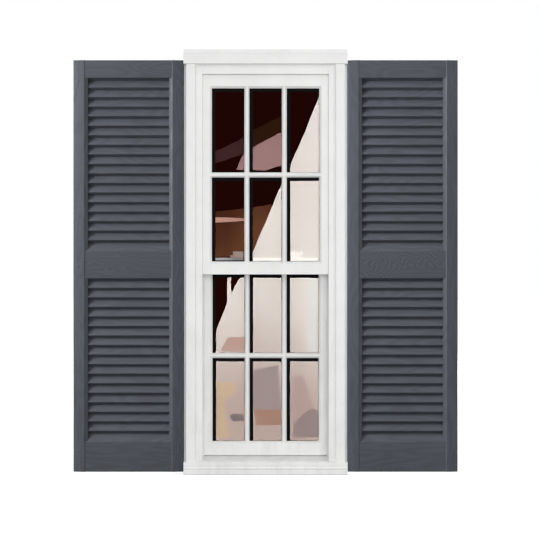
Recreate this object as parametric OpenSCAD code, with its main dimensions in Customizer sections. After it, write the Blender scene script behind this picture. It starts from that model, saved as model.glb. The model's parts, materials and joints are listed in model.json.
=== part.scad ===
// A six-over-six double-hung window in its casing, with a fixed louvred shutter on each side.
// Millimetres. x = 0 is the middle of the window, y = 0 the face of the wall with -y outdoors,
// and z = 0 the bottom of the casing.

/* [Glass] */
// Visible width of the glass in each sash
glass_w = 366; // [300:1:480]
// Visible height of the glass in each sash
glass_h = 590; // [480:1:720]
// Thickness of one pane
pane_t = 3; // [2.5:0.1:4]
// Gap between the two panes of a sealed unit
cavity_t = 10; // [8:0.5:12]
// How far the glass runs behind the sash's edge
glass_lap = 9; // [7:0.5:10]
// Columns of small lights
light_cols = 3; // [2:1:4]
// Rows of small lights in a sash
light_rows = 2; // [1:1:4]
// Width of a glazing bar
muntin_w = 18.5; // [14:0.5:22]
// How far an outdoor glazing bar stands off the glass
muntin_out = 10; // [6:0.5:11]
// How far an indoor glazing bar stands off the glass
muntin_in = 6; // [4:0.5:7]
// Width of the black bar inside the sealed unit, behind a glazing bar
shadow_bar_w = 22; // [16:0.5:26]

/* [Sashes] */
// Thickness of a sash, outdoor face to indoor face
sash_t = 35; // [32:0.5:42]
// Visible width of a sash's side member
stile_w = 39.5; // [34:0.5:50]
// Height of the upper sash's top member
top_rail_h = 54; // [45:1:70]
// Height of the upper sash's bottom member, at the meeting of the two sashes
upper_meet_h = 44; // [38:1:55]
// Height of the lower sash's top member, at the meeting of the two sashes
lower_meet_h = 42; // [36:1:55]
// Height of the lower sash's bottom member
bottom_rail_h = 48; // [40:1:80]
// How far the upper sash reaches down behind the line where the lower glass ends
meet_lap = 15; // [12:0.5:18]
// Moulded depth of the bevel round the glass on the outdoor face
sash_bevel = 7; // [4:0.5:9]
// Play between a sash and what guides it, on each side
sash_play = 1; // [0.6:0.1:1.5]

/* [Frame] */
// Thickness of the side and head jambs
jamb_t = 19; // [16:0.5:25]
// Gap between a sash's edge and the jamb
jamb_gap = 1.5; // [1:0.1:3]
// Width of the bead between the two sashes, front to back
bead_d = 12; // [10:0.5:16]
// How far the bead and the indoor stops stand in from the jamb
bead_in = 13; // [11:0.5:16]
// How far the outdoor blind stop stands in from the jamb
blind_in = 10; // [6:0.5:12]
// Depth of the indoor stop
stop_d = 12; // [10:0.5:20]
// Thickness of the outdoor blind stop
blind_t = 12; // [9:0.5:16]
// Depth of the jamb left bare behind the indoor stop
jamb_tail = 18; // [12:1:60]
// Fall of the sill from the lower sash to its outdoor edge
sill_fall = 9; // [5:0.5:16]
// Thickness of the sill under the lower sash
sill_t = 30; // [26:1:40]
// Thickness of the sill's outdoor lip
sill_lip_t = 9; // [6:0.5:14]
// Radius of the fixing holes in the jambs
jamb_hole_r = 2.5; // [2:0.1:4]
// Distance between the two fixing holes of a jamb
jamb_hole_gap = 900; // [500:10:1100]

/* [Casing] */
// Width of the flat face of the side casing
casing_face_w = 31; // [24:1:60]
// Width of the set-back strip along the casing's outer edge
casing_strip_w = 8; // [5:0.5:15]
// How far the set-back strip stands off the wall
casing_strip_d = 14; // [8:0.5:20]
// How far the side casing stands off the wall
casing_d = 34; // [28:0.5:45]
// Width of the cove from the flat face in to the blind stop
cove_w = 12; // [8:0.5:18]
// Depth of the cove
cove_d = 7; // [4:0.5:10]
// Height of the head casing above its cove
head_casing_h = 50; // [40:1:110]
// Height of the cove under the head casing
head_cove_h = 16; // [10:1:24]
// Height of the sill casing
sill_casing_h = 45; // [36:1:80]
// How far the head and sill casings stand off the wall
head_casing_d = 38; // [32:0.5:55]

/* [Shutters] */
// Width of one shutter
shutter_w = 374.6; // [300:0.5:460]
// Depth of a shutter off the wall
shutter_d = 28.6; // [24:0.2:36]
// Height of the shutters' bottom edge above the casing's bottom
shutter_rise = 10; // [0:1:60]
// Louvres above the middle rail
upper_louvres = 18; // [6:1:30]
// Louvres below the middle rail
lower_louvres = 17; // [6:1:30]
// Height of glass that suits these numbers of louvres
louvre_glass_h = 590; // [480:1:720]
// Height from one louvre to the next
louvre_pitch = 32.4; // [26:0.2:44]
// Height of a louvre's shaded underside
louvre_under = 8; // [5:0.2:10]
// Height of the last louvre's face, where it runs into the rail below
louvre_last = 29.5; // [22:0.5:36]
// Depth from a louvre's root to its lip
louvre_d = 14; // [8:0.5:18]
// Depth of a louvre's lip off the wall
louvre_lip_d = 24; // [20:0.5:26]
// Height of the shutter's top rail
shutter_top_h = 59.6; // [40:0.2:90]
// Height of the shutter's middle rail
shutter_mid_h = 92; // [60:0.5:130]
// Height of the shutter's bottom rail
shutter_bottom_h = 101.2; // [60:0.2:140]
// Width of the flat face of a shutter's stile
shutter_stile_w = 37.5; // [28:0.5:60]
// Width of the bevel from the stile down to the louvres
shutter_bevel_w = 13.5; // [9:0.5:20]
// How much a stile's face falls towards the shutter's outer edge
shutter_fall = 4; // [0:0.5:6]
// Wall of the moulded shutter
shutter_wall = 3; // [2:0.1:4]
// Radius of a shutter fastener's shank
fastener_r = 3.2; // [2.5:0.1:4]
// Radius of a shutter fastener's head
fastener_head_r = 6; // [5:0.1:7.5]
// How far a fastener's shank reaches behind the shutter
fastener_reach = 50; // [25:1:75]
// Distance from the shutter's edge to its fasteners
fastener_inset = 17; // [12:0.5:24]

/* [Locks and lifts] */
// Distance from the window's middle to each lock's pivot
lock_x = 92; // [78:1:120]
// Radius of a lock's pivot post
lock_post_r = 4; // [3:0.1:5]
// Length of the cam from its pivot to its tip
cam_reach = 24; // [22:0.5:26]
// Thickness of the cam
cam_t = 7.5; // [5:0.5:9]
// Length of the lock's lever from its pivot
lever_reach = 36; // [28:1:44]
// Height of the lock's base
lock_base_h = 9; // [6:0.5:12]
// Distance from the window's middle to each finger lift
lift_x = 100; // [60:1:130]

/* [Balances] */
// Outer radius of a balance tube
tube_r = 5.5; // [5:0.1:6]
// Radius of a balance rod
rod_r = 2.5; // [2:0.1:3]
// Side of the groove in a sash's edge that clears its balance tube
groove_w = 14; // [13:0.5:15]

/* [Hidden] */
$fn = 48;
// Length by which a cutter passes a face
past = 1;
// Clearance between a turning or sliding piece and the piece it passes
running = 0.3;

// Widths, from the middle out
glass_x = glass_w / 2;
sash_half = glass_x + stile_w;
jamb_x = sash_half + jamb_gap;
jamb_out_x = jamb_x + jamb_t;
bead_x = jamb_x - bead_in;
ledge_x = bead_x - 3;
blind_x = jamb_x - blind_in;
blind_lap = 16;
cove_x = jamb_out_x - blind_lap;
face_in_x = cove_x + cove_w;
face_out_x = face_in_x + casing_face_w;
casing_x = face_out_x + casing_strip_w;

// Depths, from outdoors in
blind_front_y = cove_d - casing_d;
blind_back_y = blind_front_y + blind_t;
upper_y = blind_back_y + sash_play;
bead_y = upper_y + sash_t + sash_play;
lower_y = bead_y + bead_d + sash_play;
stop_y = lower_y + sash_t + sash_play;
jamb_back_y = stop_y + stop_d + jamb_tail;
pane_y = 11;
inner_pane_y = pane_y + pane_t + cavity_t;
unit_t = 2 * pane_t + cavity_t;

// Heights, from the bottom up
seal_gap = 2;
seal_t = seal_gap - 0.4;
edge_seal_w = 8;
sill_lip_top = sill_casing_h + 1;
sill_lip_z = sill_lip_top - sill_lip_t;
sill_top = sill_lip_top + sill_fall;
sill_z = sill_top - sill_t;
lower_z = sill_top + seal_gap;
lower_glass_z = lower_z + bottom_rail_h;
lower_glass_top = lower_glass_z + glass_h;
lower_top = lower_glass_top + lower_meet_h;
upper_z = lower_glass_top - meet_lap;
upper_glass_z = upper_z + upper_meet_h;
upper_glass_top = upper_glass_z + glass_h;
upper_top = upper_glass_top + top_rail_h;
head_z = upper_top + seal_gap;
head_jamb_top = head_z + jamb_t;
face_bottom = head_jamb_top + 4;
casing_top = face_bottom + head_casing_h;
travel = glass_h;

// Shutter sizes. Taller or shorter glass adds or takes away whole louvres.
louvre_change = round(2 * (glass_h - louvre_glass_h) / louvre_pitch);
upper_count = upper_louvres + floor(louvre_change / 2);
lower_count = lower_louvres + ceil(louvre_change / 2);
upper_field_h = (upper_count - 1) * louvre_pitch + louvre_under + louvre_last;
lower_field_h = (lower_count - 1) * louvre_pitch + louvre_under + louvre_last;
shutter_h = shutter_top_h + upper_field_h + shutter_mid_h + lower_field_h + shutter_bottom_h;
louvre_root_d = louvre_lip_d - louvre_d;
rail_d = shutter_d - 3.6;
top_rail_d = shutter_d - 1;
skin = 4.5;
edge_d = shutter_d - shutter_fall;
edge_r = 3;
bevel_slope = shutter_bevel_w / (shutter_d - louvre_root_d);
fastener_seat_d = edge_d + running;
fastener_neck_r = fastener_r + 0.6;
fastener_end = 70;
fastener_zs = [fastener_end, shutter_h / 2, shutter_h - fastener_end];

// Lock places
lock_y = lower_y + sash_t * 3 / 7;
cam_z = lower_top + lock_base_h + running;
hub_r = 11;
lock_base_w = 60;
ledge_y = lower_y - sash_play;
keeper_back = ledge_y - 0.5;
keeper_front = upper_y + sash_t + 0.5;
keeper_middle = (keeper_front + keeper_back) / 2;
keeper_w = 40;
keeper_foot_w = 64;
keeper_foot_t = 2.5;
keeper_screw_x = 26;
slot_play = 0.8;
screw_r = 1.9;
screw_hole_r = screw_r + 0.1;
screw_head_r = 3.4;
screw_head_h = 1.6;

// Casing and frame details
head_roll_r = 40;
head_roll_turn = 42;
head_crest_d = 10 - head_casing_d;
sill_bead_z = 24;
jamb_mid_z = (sill_top + head_z) / 2;
jamb_screw_depth = 14;
seal_groove = 2.3;
meet_seal_h = 8;
meet_seal_z = upper_z + upper_meet_h / 2 - meet_seal_h / 2;
keeper_screw_depth = 14;

// Finger lift sizes
lift_w = 60;
lift_h = 24;
lift_d = 20;
lift_t = 2.5;
lift_lip = 8;
lift_y = lower_y + sash_t;
lift_z = lower_z + 14;
lift_screw_x = 22;
lift_screw_up = 8;
lift_screw_depth = 12;

// Balance places
tube_x = sash_half - groove_w / 2;
lug_h = 20;
rod_foot_h = 10;
rod_raised_top = head_z - lug_h - 5;
tube_z = rod_raised_top - travel - 27;

paint = [0.93, 0.93, 0.92];
vinyl = [0.29, 0.30, 0.33];
clear = [0.35, 0.38, 0.40, 0.6];
black = [0.06, 0.06, 0.06];
metal = [0.80, 0.80, 0.79];
steel = [0.62, 0.63, 0.64];

// Both sides: the children, and their mirror image in the window's middle
module both() {
    children();
    mirror([1, 0, 0]) children();
}

// A block between two corners
module block(a, b) {
    translate(a) cube(b - a);
}

// An upright bar from z0 to z1 over a section drawn in x and y
module upright(z0, z1) {
    translate([0, 0, z0]) linear_extrude(z1 - z0) children();
}

// A bar along x, centred, over a section drawn as [y, z]
module across(w) {
    rotate([90, 0, 90]) translate([0, 0, -w / 2]) linear_extrude(w) children();
}

// A front-to-back prism over an outline drawn as [x, z]
module through(y0, y1) {
    translate([0, y1, 0]) rotate([90, 0, 0]) linear_extrude(y1 - y0) children();
}

// Points of a quarter arc about c, from angle a0 to a1
function arc(c, r, a0, a1, n = 8) = [for (i = [0:n])
    let (a = a0 + (a1 - a0) * i / n) c + r * [cos(a), sin(a)]];

// A point on a quarter-round hollow as [y, place]: share t of the way from its start, over its width
function cove_point(t, start, width) = [cove_d * sqrt(1 - pow(1 - t, 2)) - casing_d, start + width * t];

// Casing

// Section of the side casing in x and y: strip, face, cove, and the rabbet over the blind stop
module casing_section() {
    polygon(concat(
        [[casing_x, 0], [casing_x, -casing_strip_d], [face_out_x, -casing_strip_d]],
        [[face_out_x, 1.5 - casing_d], [face_out_x - 1.5, -casing_d]],
        [[face_in_x, -casing_d]],
        [for (i = [1:7]) let (p = cove_point(i / 8, face_in_x, -cove_w)) [p[1], p[0]]],
        [[cove_x, blind_front_y], [jamb_out_x, blind_front_y], [jamb_out_x, 0]]));
}

module casing_side() {
    intersection() {
        upright(sill_casing_h, face_bottom) casing_section();
        through(-casing_d - past, past) polygon([[cove_x, sill_casing_h], [casing_x, sill_casing_h],
            [casing_x, face_bottom], [face_in_x, face_bottom], [cove_x, face_bottom - head_cove_h]]);
    }
}

// Section of the head casing as [y, z]: a face that rolls back to a stepped top edge
module head_section() {
    polygon(concat(
        [[0, face_bottom], [2 - head_casing_d, face_bottom], [-head_casing_d, face_bottom + 2]],
        arc([head_roll_r - head_casing_d, face_bottom + 14], head_roll_r, 180, 180 - head_roll_turn),
        [[head_crest_d, casing_top - 3], [3 + head_crest_d, casing_top], [0, casing_top]]));
}

// Section of the cove under the head casing as [y, z]
module head_cove_section() {
    polygon(concat(
        [[-casing_d, face_bottom + past], [-casing_d, face_bottom]],
        [for (i = [1:7]) cove_point(i / 8, face_bottom, -head_cove_h)],
        [[blind_front_y, face_bottom - head_cove_h], [blind_front_y, face_bottom + past]]));
}

module casing_head_piece() {
    across(2 * casing_x) head_section();
    intersection() {
        across(2 * face_in_x) head_cove_section();
        through(-casing_d - past, past) polygon([[-face_in_x, face_bottom + past], [-face_in_x, face_bottom],
            [-cove_x, face_bottom - head_cove_h], [cove_x, face_bottom - head_cove_h],
            [face_in_x, face_bottom], [face_in_x, face_bottom + past]]);
    }
}

// Section of the sill casing as [y, z]: a nosing with a half-round bead along its middle
module sill_casing_section() {
    polygon(concat(
        [[0, 0], [3 - head_casing_d, 0], [-head_casing_d, 3], [-head_casing_d, sill_bead_z - 7]],
        [for (a = [0:30:180]) [1.5 - head_casing_d - 3 * sin(a), sill_bead_z - 5.5 * cos(a)]],
        [[-head_casing_d, sill_bead_z + 7], [-head_casing_d, sill_casing_h - 3]],
        [[3 - head_casing_d, sill_casing_h], [0, sill_casing_h]]));
}

module sill_casing_piece() {
    difference() {
        across(2 * casing_x) sill_casing_section();
        block([-jamb_out_x, blind_front_y, sill_lip_z], [jamb_out_x, past, sill_casing_h + past]);
    }
}

module casing_left() { color(paint) mirror([1, 0, 0]) casing_side(); }
module casing_right() { color(paint) casing_side(); }
module casing_head() { color(paint) casing_head_piece(); }
module casing_sill() { color(paint) sill_casing_piece(); }

// Frame

// Section of the sill as [y, z]: flat under the lower sash, then falling outdoors to its lip
module sill_section() {
    polygon([[blind_front_y, sill_lip_z], [blind_front_y, sill_lip_top], [lower_y - sash_play, sill_top],
        [jamb_back_y, sill_top], [jamb_back_y, sill_z], [0, sill_z], [0, sill_lip_z]]);
}

module sill_piece() {
    across(2 * jamb_x) sill_section();
    block([-jamb_out_x, 0, sill_z], [jamb_out_x, jamb_back_y, sill_lip_z]);
}

module jamb_side() {
    difference() {
        block([jamb_x, blind_back_y, sill_lip_z], [jamb_out_x, jamb_back_y, head_z]);
        for (s = [-1, 1])
            translate([jamb_x - past, jamb_back_y - jamb_tail / 2, jamb_mid_z + s * jamb_hole_gap / 2])
                rotate([0, 90, 0]) cylinder(r = jamb_hole_r, h = jamb_t + 2 * past);
        for (y = [upper_y, lower_y])
            translate([jamb_x - past, y + sash_t / 2, head_z - lug_h / 2])
                rotate([0, 90, 0]) cylinder(r = screw_hole_r, h = jamb_screw_depth + past);
    }
}

// A side stop or bead, from the sill up to z1, between two depths
module side_stop(x0, x1, y0, y1, z1) {
    difference() {
        block([x0, y0, sill_lip_z], [x1, y1, z1]);
        across(2 * jamb_x) sill_section();
    }
}

module blind_stop_side() { side_stop(blind_x, jamb_out_x, blind_front_y, blind_back_y, face_bottom); }
module parting_bead_side() { side_stop(bead_x, jamb_x, bead_y, bead_y + bead_d, head_z); }

// The indoor stop has a small bevel on its corner by the sash
module inner_stop_side() {
    upright(sill_top, head_z) polygon([[jamb_x, stop_y], [bead_x + 2, stop_y], [bead_x, stop_y + 2],
        [bead_x, stop_y + stop_d], [jamb_x, stop_y + stop_d]]);
}

module jamb_left() { color(paint) mirror([1, 0, 0]) jamb_side(); }
module jamb_right() { color(paint) jamb_side(); }
module jamb_head() {
    color(paint) block([-jamb_out_x, blind_back_y, head_z], [jamb_out_x, jamb_back_y, head_jamb_top]);
}
module sill() { color(paint) sill_piece(); }
module blind_stop_left() { color(paint) mirror([1, 0, 0]) blind_stop_side(); }
module blind_stop_right() { color(paint) blind_stop_side(); }
module blind_stop_head() {
    color(paint) block([-blind_x, blind_front_y, head_z - blind_in], [blind_x, blind_back_y, face_bottom]);
}
module parting_bead_left() { color(paint) mirror([1, 0, 0]) parting_bead_side(); }
module parting_bead_right() { color(paint) parting_bead_side(); }
module parting_bead_head() {
    color(paint) block([-bead_x, bead_y, head_z - bead_in], [bead_x, bead_y + bead_d, head_z]);
}
module inner_stop_left() { color(paint) mirror([1, 0, 0]) inner_stop_side(); }
module inner_stop_right() { color(paint) inner_stop_side(); }
module inner_stop_head() {
    color(paint) across(2 * bead_x) polygon([[stop_y, head_z], [stop_y, head_z - bead_in + 2],
        [stop_y + 2, head_z - bead_in], [stop_y + stop_d, head_z - bead_in], [stop_y + stop_d, head_z]]);
}

// Sash balances: a tube hung from each side of the frame, and a rod that rises into it from the sash

module balance_tube(y) {
    translate([tube_x, y + sash_t / 2, 0]) difference() {
        union() {
            translate([0, 0, tube_z]) cylinder(r = tube_r, h = head_z - lug_h - tube_z);
            block([-tube_r + 2.5, -4, head_z - lug_h - 2], [jamb_x - tube_x, 4, head_z]);
        }
        translate([0, 0, tube_z - past])
            cylinder(r = rod_r + running, h = head_z - lug_h - tube_z - 2 + past);
        translate([-tube_r, 0, head_z - lug_h / 2])
            rotate([0, 90, 0]) cylinder(r = screw_hole_r, h = 3 * tube_r);
    }
}

module balance_screw(y) {
    translate([tube_x - tube_r + 2.5, y + sash_t / 2, head_z - lug_h / 2]) rotate([0, 90, 0]) {
        translate([0, 0, -screw_head_h]) cylinder(r = screw_head_r, h = screw_head_h);
        cylinder(r = screw_r, h = jamb_x - tube_x + tube_r - 2.5 + jamb_screw_depth - 1);
    }
}

// A rod on a foot that fills the bottom of the groove in a sash's edge
module balance_rod(y, z, z1) {
    translate([tube_x, y + sash_t / 2, 0]) {
        translate([0, 0, z]) cylinder(r = rod_r, h = z1 - z);
        block([-groove_w / 2, -groove_w / 2, z], [groove_w / 2, groove_w / 2, z + rod_foot_h]);
    }
}

module upper_balance_tubes() { color(metal) both() balance_tube(upper_y); }
module lower_balance_tubes() { color(metal) both() balance_tube(lower_y); }
module balance_screws() { color(steel) both() { balance_screw(upper_y); balance_screw(lower_y); } }
module upper_balance_rods() { color(steel) both() balance_rod(upper_y, upper_z, rod_raised_top); }
module lower_balance_rods() { color(steel) both() balance_rod(lower_y, lower_z, rod_raised_top - travel); }

// Sashes. A sash's own depth runs from 0 at its outdoor face to sash_t.

// Section of a side member as [x, y]: face, bevel, rebate for the glass, and the balance groove
module stile_section() {
    polygon([[sash_half, 0], [glass_x + sash_bevel, 0], [glass_x, sash_bevel], [glass_x, pane_y],
        [glass_x + glass_lap, pane_y], [glass_x + glass_lap, sash_t], [sash_half, sash_t],
        [sash_half, (sash_t + groove_w) / 2], [sash_half - groove_w, (sash_t + groove_w) / 2],
        [sash_half - groove_w, (sash_t - groove_w) / 2], [sash_half, (sash_t - groove_w) / 2]]);
}

// A side member from z0 to z1, in the sash's own depth
module stile(z0, z1) {
    upright(z0, z1) stile_section();
}

// Section of a top or bottom member as [y, z], from the glass line out to the sash's edge
module rail_section(edge, out) {
    s = out > edge ? 1 : -1;
    polygon([[0, edge + s * sash_bevel], [0, out], [sash_t, out], [sash_t, edge + s * glass_lap],
        [pane_y, edge + s * glass_lap], [pane_y, edge], [sash_bevel, edge]]);
}

// A top or bottom member, with its ends shaped over the side members
module rail(edge, out) {
    difference() {
        across(2 * (glass_x + max(sash_bevel, glass_lap))) rail_section(edge, out);
        both() stile(min(edge, out) - past, max(edge, out) + past);
    }
}

// A pane, from z0 to z1 of the visible glass
module pane(z0, z1) {
    reach = glass_lap - 1;
    block([-glass_x - reach, 0, z0 - reach], [glass_x + reach, pane_t, z1 + reach]);
}

// Middles of the glazing bars across, and up a sash whose glass starts at z0
function bar_middle(i, n, length) = i * (length - (n - 1) * muntin_w) / n + (i - 0.5) * muntin_w;
function bar_xs() = [for (i = [1:1:light_cols - 1]) bar_middle(i, light_cols, glass_w) - glass_x];
function bar_zs(z0) = [for (i = [1:1:light_rows - 1]) z0 + bar_middle(i, light_rows, glass_h)];

// Section of a glazing bar: w wide at the glass, d deep, with bevelled sides
module bar_section(w, d) {
    side = [[w / 2, 0], [w / 2, 0.3 * d], [w / 2 - 0.45 * d, d]];
    polygon(concat(side, [for (i = [2:-1:0]) [-side[i][0], side[i][1]]]));
}

// A grid of glazing bars standing from y = 0 towards -y, each running on by extra at its ends
module bar_grid(z0, w, d, extra) {
    for (x = bar_xs())
        translate([x, 0, z0 - extra]) linear_extrude(glass_h + 2 * extra) mirror([0, 1]) bar_section(w, d);
    for (z = bar_zs(z0))
        translate([-glass_x - extra, 0, z]) rotate([90, 0, 90]) linear_extrude(glass_w + 2 * extra)
            rotate(90) bar_section(w, d);
}

// The outdoor bars, shaped over the sash's bevel
module muntins_outer(z0) {
    difference() {
        translate([0, pane_y, 0]) bar_grid(z0, muntin_w, muntin_out, sash_bevel);
        both() stile(z0 - 2 * sash_bevel, z0 + glass_h + 2 * sash_bevel);
        across(2 * glass_w) rail_section(z0, z0 - 3 * sash_bevel);
        across(2 * glass_w) rail_section(z0 + glass_h, z0 + glass_h + 3 * sash_bevel);
    }
}

module muntins_inner(z0) {
    translate([0, pane_y + unit_t, 0]) mirror([0, 1, 0]) bar_grid(z0, muntin_w, muntin_in, 0);
}

// The spacer round a sealed unit's edge, with the dark bars that stand behind the glazing bars
module spacer(z0) {
    sight = 4;
    reach = glass_lap - 2;
    z1 = z0 + glass_h;
    bar_inset = 0.5;
    half_bar = shadow_bar_w / 2;
    translate([0, pane_y + pane_t, 0]) {
        difference() {
            block([-glass_x - reach, 0, z0 - reach], [glass_x + reach, cavity_t, z1 + reach]);
            block([sight - glass_x, -past, z0 + sight], [glass_x - sight, cavity_t + past, z1 - sight]);
        }
        for (x = bar_xs())
            block([x - half_bar, bar_inset, z0], [x + half_bar, cavity_t - bar_inset, z1]);
        for (z = bar_zs(z0))
            block([-glass_x, bar_inset, z - half_bar], [glass_x, cavity_t - bar_inset, z + half_bar]);
    }
}

// Section of an indoor glazing bead as [out from the glass line, depth]
module bead_section() {
    t = sash_t - pane_y - unit_t;
    polygon([[0, 0], [glass_lap, 0], [glass_lap, t], [0.5 * t, t], [0, 0.5 * t]]);
}

module glazing_beads(z0) {
    z1 = z0 + glass_h;
    translate([0, pane_y + unit_t, 0]) {
        both() translate([glass_x, 0, 0]) upright(z0 - glass_lap, z1 + glass_lap) bead_section();
        across(glass_w) translate([0, z1]) rotate(90) mirror([0, 1]) bead_section();
        across(glass_w) translate([0, z0]) mirror([0, 1]) rotate(90) mirror([0, 1]) bead_section();
    }
}

// A seal strip lying from z up, along a sash's top or bottom edge
module edge_seal(z) {
    block([-glass_x, (sash_t - edge_seal_w) / 2, z], [glass_x, (sash_t + edge_seal_w) / 2, z + seal_t]);
}

module in_upper() { translate([0, upper_y, 0]) children(); }
module in_lower() { translate([0, lower_y, 0]) children(); }

// The upper sash's bottom member carries a ledge that meets the lower sash
module meeting_rail_upper() {
    difference() {
        union() {
            in_upper() rail(upper_glass_z, upper_z);
            block([-ledge_x, upper_y + sash_t - past, upper_z], [ledge_x, ledge_y, upper_glass_z]);
        }
        in_upper() block([-glass_x - glass_lap, pane_y, upper_glass_z - glass_lap],
            [glass_x + glass_lap, sash_t, upper_glass_z + past]);
        in_upper() both() stile(upper_z - past, upper_glass_z + past);
        block([-ledge_x - past, ledge_y - seal_groove, meet_seal_z],
            [ledge_x + past, ledge_y + past, meet_seal_z + meet_seal_h]);
        both() for (s = [-1, 1])
            translate([lock_x + s * keeper_screw_x, keeper_middle, upper_glass_z - keeper_screw_depth])
                cylinder(r = screw_hole_r, h = keeper_screw_depth + past);
    }
}

module upper_stile_left() { color(paint) mirror([1, 0, 0]) in_upper() stile(upper_z, upper_top); }
module upper_stile_right() { color(paint) in_upper() stile(upper_z, upper_top); }
module upper_top_rail() { color(paint) in_upper() rail(upper_glass_top, upper_top); }
module upper_meeting_rail() { color(paint) meeting_rail_upper(); }
module upper_pane_outer() {
    color(clear) in_upper() translate([0, pane_y, 0]) pane(upper_glass_z, upper_glass_top);
}
module upper_pane_inner() {
    color(clear) in_upper() translate([0, inner_pane_y, 0]) pane(upper_glass_z, upper_glass_top);
}
module upper_spacer() { color(black) in_upper() spacer(upper_glass_z); }
module upper_muntins_outer() { color(paint) in_upper() muntins_outer(upper_glass_z); }
module upper_muntins_inner() { color(paint) in_upper() muntins_inner(upper_glass_z); }
module upper_glazing_beads() { color(paint) in_upper() glazing_beads(upper_glass_z); }
module upper_head_seal() {
    color(black) in_upper() edge_seal(upper_top);
}
module meeting_seal() {
    color(black) block([-ledge_x, ledge_y - seal_groove, meet_seal_z],
        [ledge_x, ledge_y + sash_play - running, meet_seal_z + meet_seal_h]);
}

module lower_stile_left() { color(paint) mirror([1, 0, 0]) in_lower() stile(lower_z, lower_top); }
module lower_stile_right() { color(paint) in_lower() stile(lower_z, lower_top); }
module lower_meeting_rail() { color(paint) in_lower() rail(lower_glass_top, lower_top); }
module lower_bottom_rail() {
    color(paint) difference() {
        in_lower() rail(lower_glass_z, lower_z);
        both() for (s = [-1, 1])
            translate([lift_x + s * lift_screw_x, lift_y - lift_screw_depth, lift_z + lift_screw_up])
                rotate([-90, 0, 0]) cylinder(r = screw_hole_r, h = lift_screw_depth + past);
    }
}
module lower_pane_outer() {
    color(clear) in_lower() translate([0, pane_y, 0]) pane(lower_glass_z, lower_glass_top);
}
module lower_pane_inner() {
    color(clear) in_lower() translate([0, inner_pane_y, 0]) pane(lower_glass_z, lower_glass_top);
}
module lower_spacer() { color(black) in_lower() spacer(lower_glass_z); }
module lower_muntins_outer() { color(paint) in_lower() muntins_outer(lower_glass_z); }
module lower_muntins_inner() { color(paint) in_lower() muntins_inner(lower_glass_z); }
module lower_glazing_beads() { color(paint) in_lower() glazing_beads(lower_glass_z); }
module lower_sill_seal() {
    color(black) in_lower() edge_seal(lower_z - seal_t);
}

// Locks

// The base with its riveted post, at the lock's pivot
module lock_base() {
    half = lock_base_w / 2 - hub_r;
    translate([0, lock_y, lower_top]) {
        block([-half, -hub_r, 0], [half, hub_r, lock_base_h]);
        for (s = [-1, 1]) translate([s * half, 0, 0]) cylinder(r = hub_r, h = lock_base_h);
        cylinder(r = lock_post_r, h = lock_base_h + cam_t + 2 * running + 2);
        translate([0, 0, lock_base_h + cam_t + 2 * running]) cylinder(r = lock_post_r + 2.5, h = 2);
    }
}

// The cam with its tongue towards +y and its lever towards +x, which is the unlocked rest
module lock_cam() {
    half_angle = 38;
    translate([0, lock_y, cam_z]) difference() {
        union() {
            cylinder(r = hub_r, h = cam_t);
            intersection() {
                cylinder(r = cam_reach, h = cam_t);
                linear_extrude(cam_t) polygon([[0, 0], 2 * cam_reach * [sin(half_angle), cos(half_angle)],
                    2 * cam_reach * [-sin(half_angle), cos(half_angle)]]);
            }
            block([hub_r / 2, -4.5, 2], [lever_reach - 6, 4.5, cam_t]);
            translate([lever_reach - 6, 0, 1]) cylinder(r = 6, h = cam_t + 7);
        }
        translate([0, 0, -past]) cylinder(r = lock_post_r + 0.1, h = cam_t + 2 * past);
        translate([0, 0, cam_t]) cylinder(r = lock_post_r + 2.5 + running, h = 10);
    }
}

// The keeper: a foot on the upper sash's ledge, and a block slotted for the cam's tongue
module lock_keeper() {
    slot_z = cam_z - slot_play;
    slot_top = cam_z + cam_t + slot_play;
    difference() {
        union() {
            block([-keeper_foot_w / 2, keeper_front, upper_glass_z],
                [keeper_foot_w / 2, keeper_back, upper_glass_z + keeper_foot_t]);
            block([-keeper_w / 2, keeper_front, upper_glass_z], [keeper_w / 2, keeper_back, slot_top + 4]);
        }
        block([-keeper_w / 2 - past, lock_y - cam_reach - 1.5, slot_z],
            [keeper_w / 2 + past, keeper_back + past, slot_top]);
        for (s = [-1, 1])
            translate([s * keeper_screw_x, keeper_middle, upper_glass_z - past])
                cylinder(r = screw_hole_r, h = keeper_foot_t + 2 * past);
    }
}

module keeper_screw() {
    translate([0, keeper_middle, upper_glass_z + keeper_foot_t]) {
        cylinder(r = screw_head_r, h = screw_head_h);
        translate([0, 0, 1 - keeper_foot_t - keeper_screw_depth])
            cylinder(r = screw_r, h = keeper_foot_t + keeper_screw_depth - 1);
    }
}

module lock_base_left() { color(metal) translate([-lock_x, 0, 0]) lock_base(); }
module lock_base_right() { color(metal) translate([lock_x, 0, 0]) lock_base(); }
module lock_cam_left() { color(metal) translate([-lock_x, 0, 0]) lock_cam(); }
module lock_cam_right() { color(metal) translate([lock_x, 0, 0]) lock_cam(); }
module lock_keepers() { color(metal) both() translate([lock_x, 0, 0]) lock_keeper(); }
module keeper_screws() {
    color(steel) both() for (s = [-1, 1]) translate([lock_x + s * keeper_screw_x, 0, 0]) keeper_screw();
}

// Finger lifts on the lower sash's bottom member

// A plate with a shelf and a turned-down lip, as a section in [y, z]
module finger_lift() {
    difference() {
        translate([0, lift_y, lift_z]) across(lift_w) polygon([[0, 0], [lift_t, 0], [lift_t, lift_h - lift_t],
            [lift_d - lift_t, lift_h - lift_t], [lift_d - lift_t, lift_h - lift_lip],
            [lift_d, lift_h - lift_lip], [lift_d, lift_h - 1], [lift_d - 1, lift_h], [0, lift_h]]);
        for (s = [-1, 1])
            translate([s * lift_screw_x, lift_y - past, lift_z + lift_screw_up])
                rotate([-90, 0, 0]) cylinder(r = screw_hole_r, h = lift_t + 2 * past);
    }
}

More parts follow.
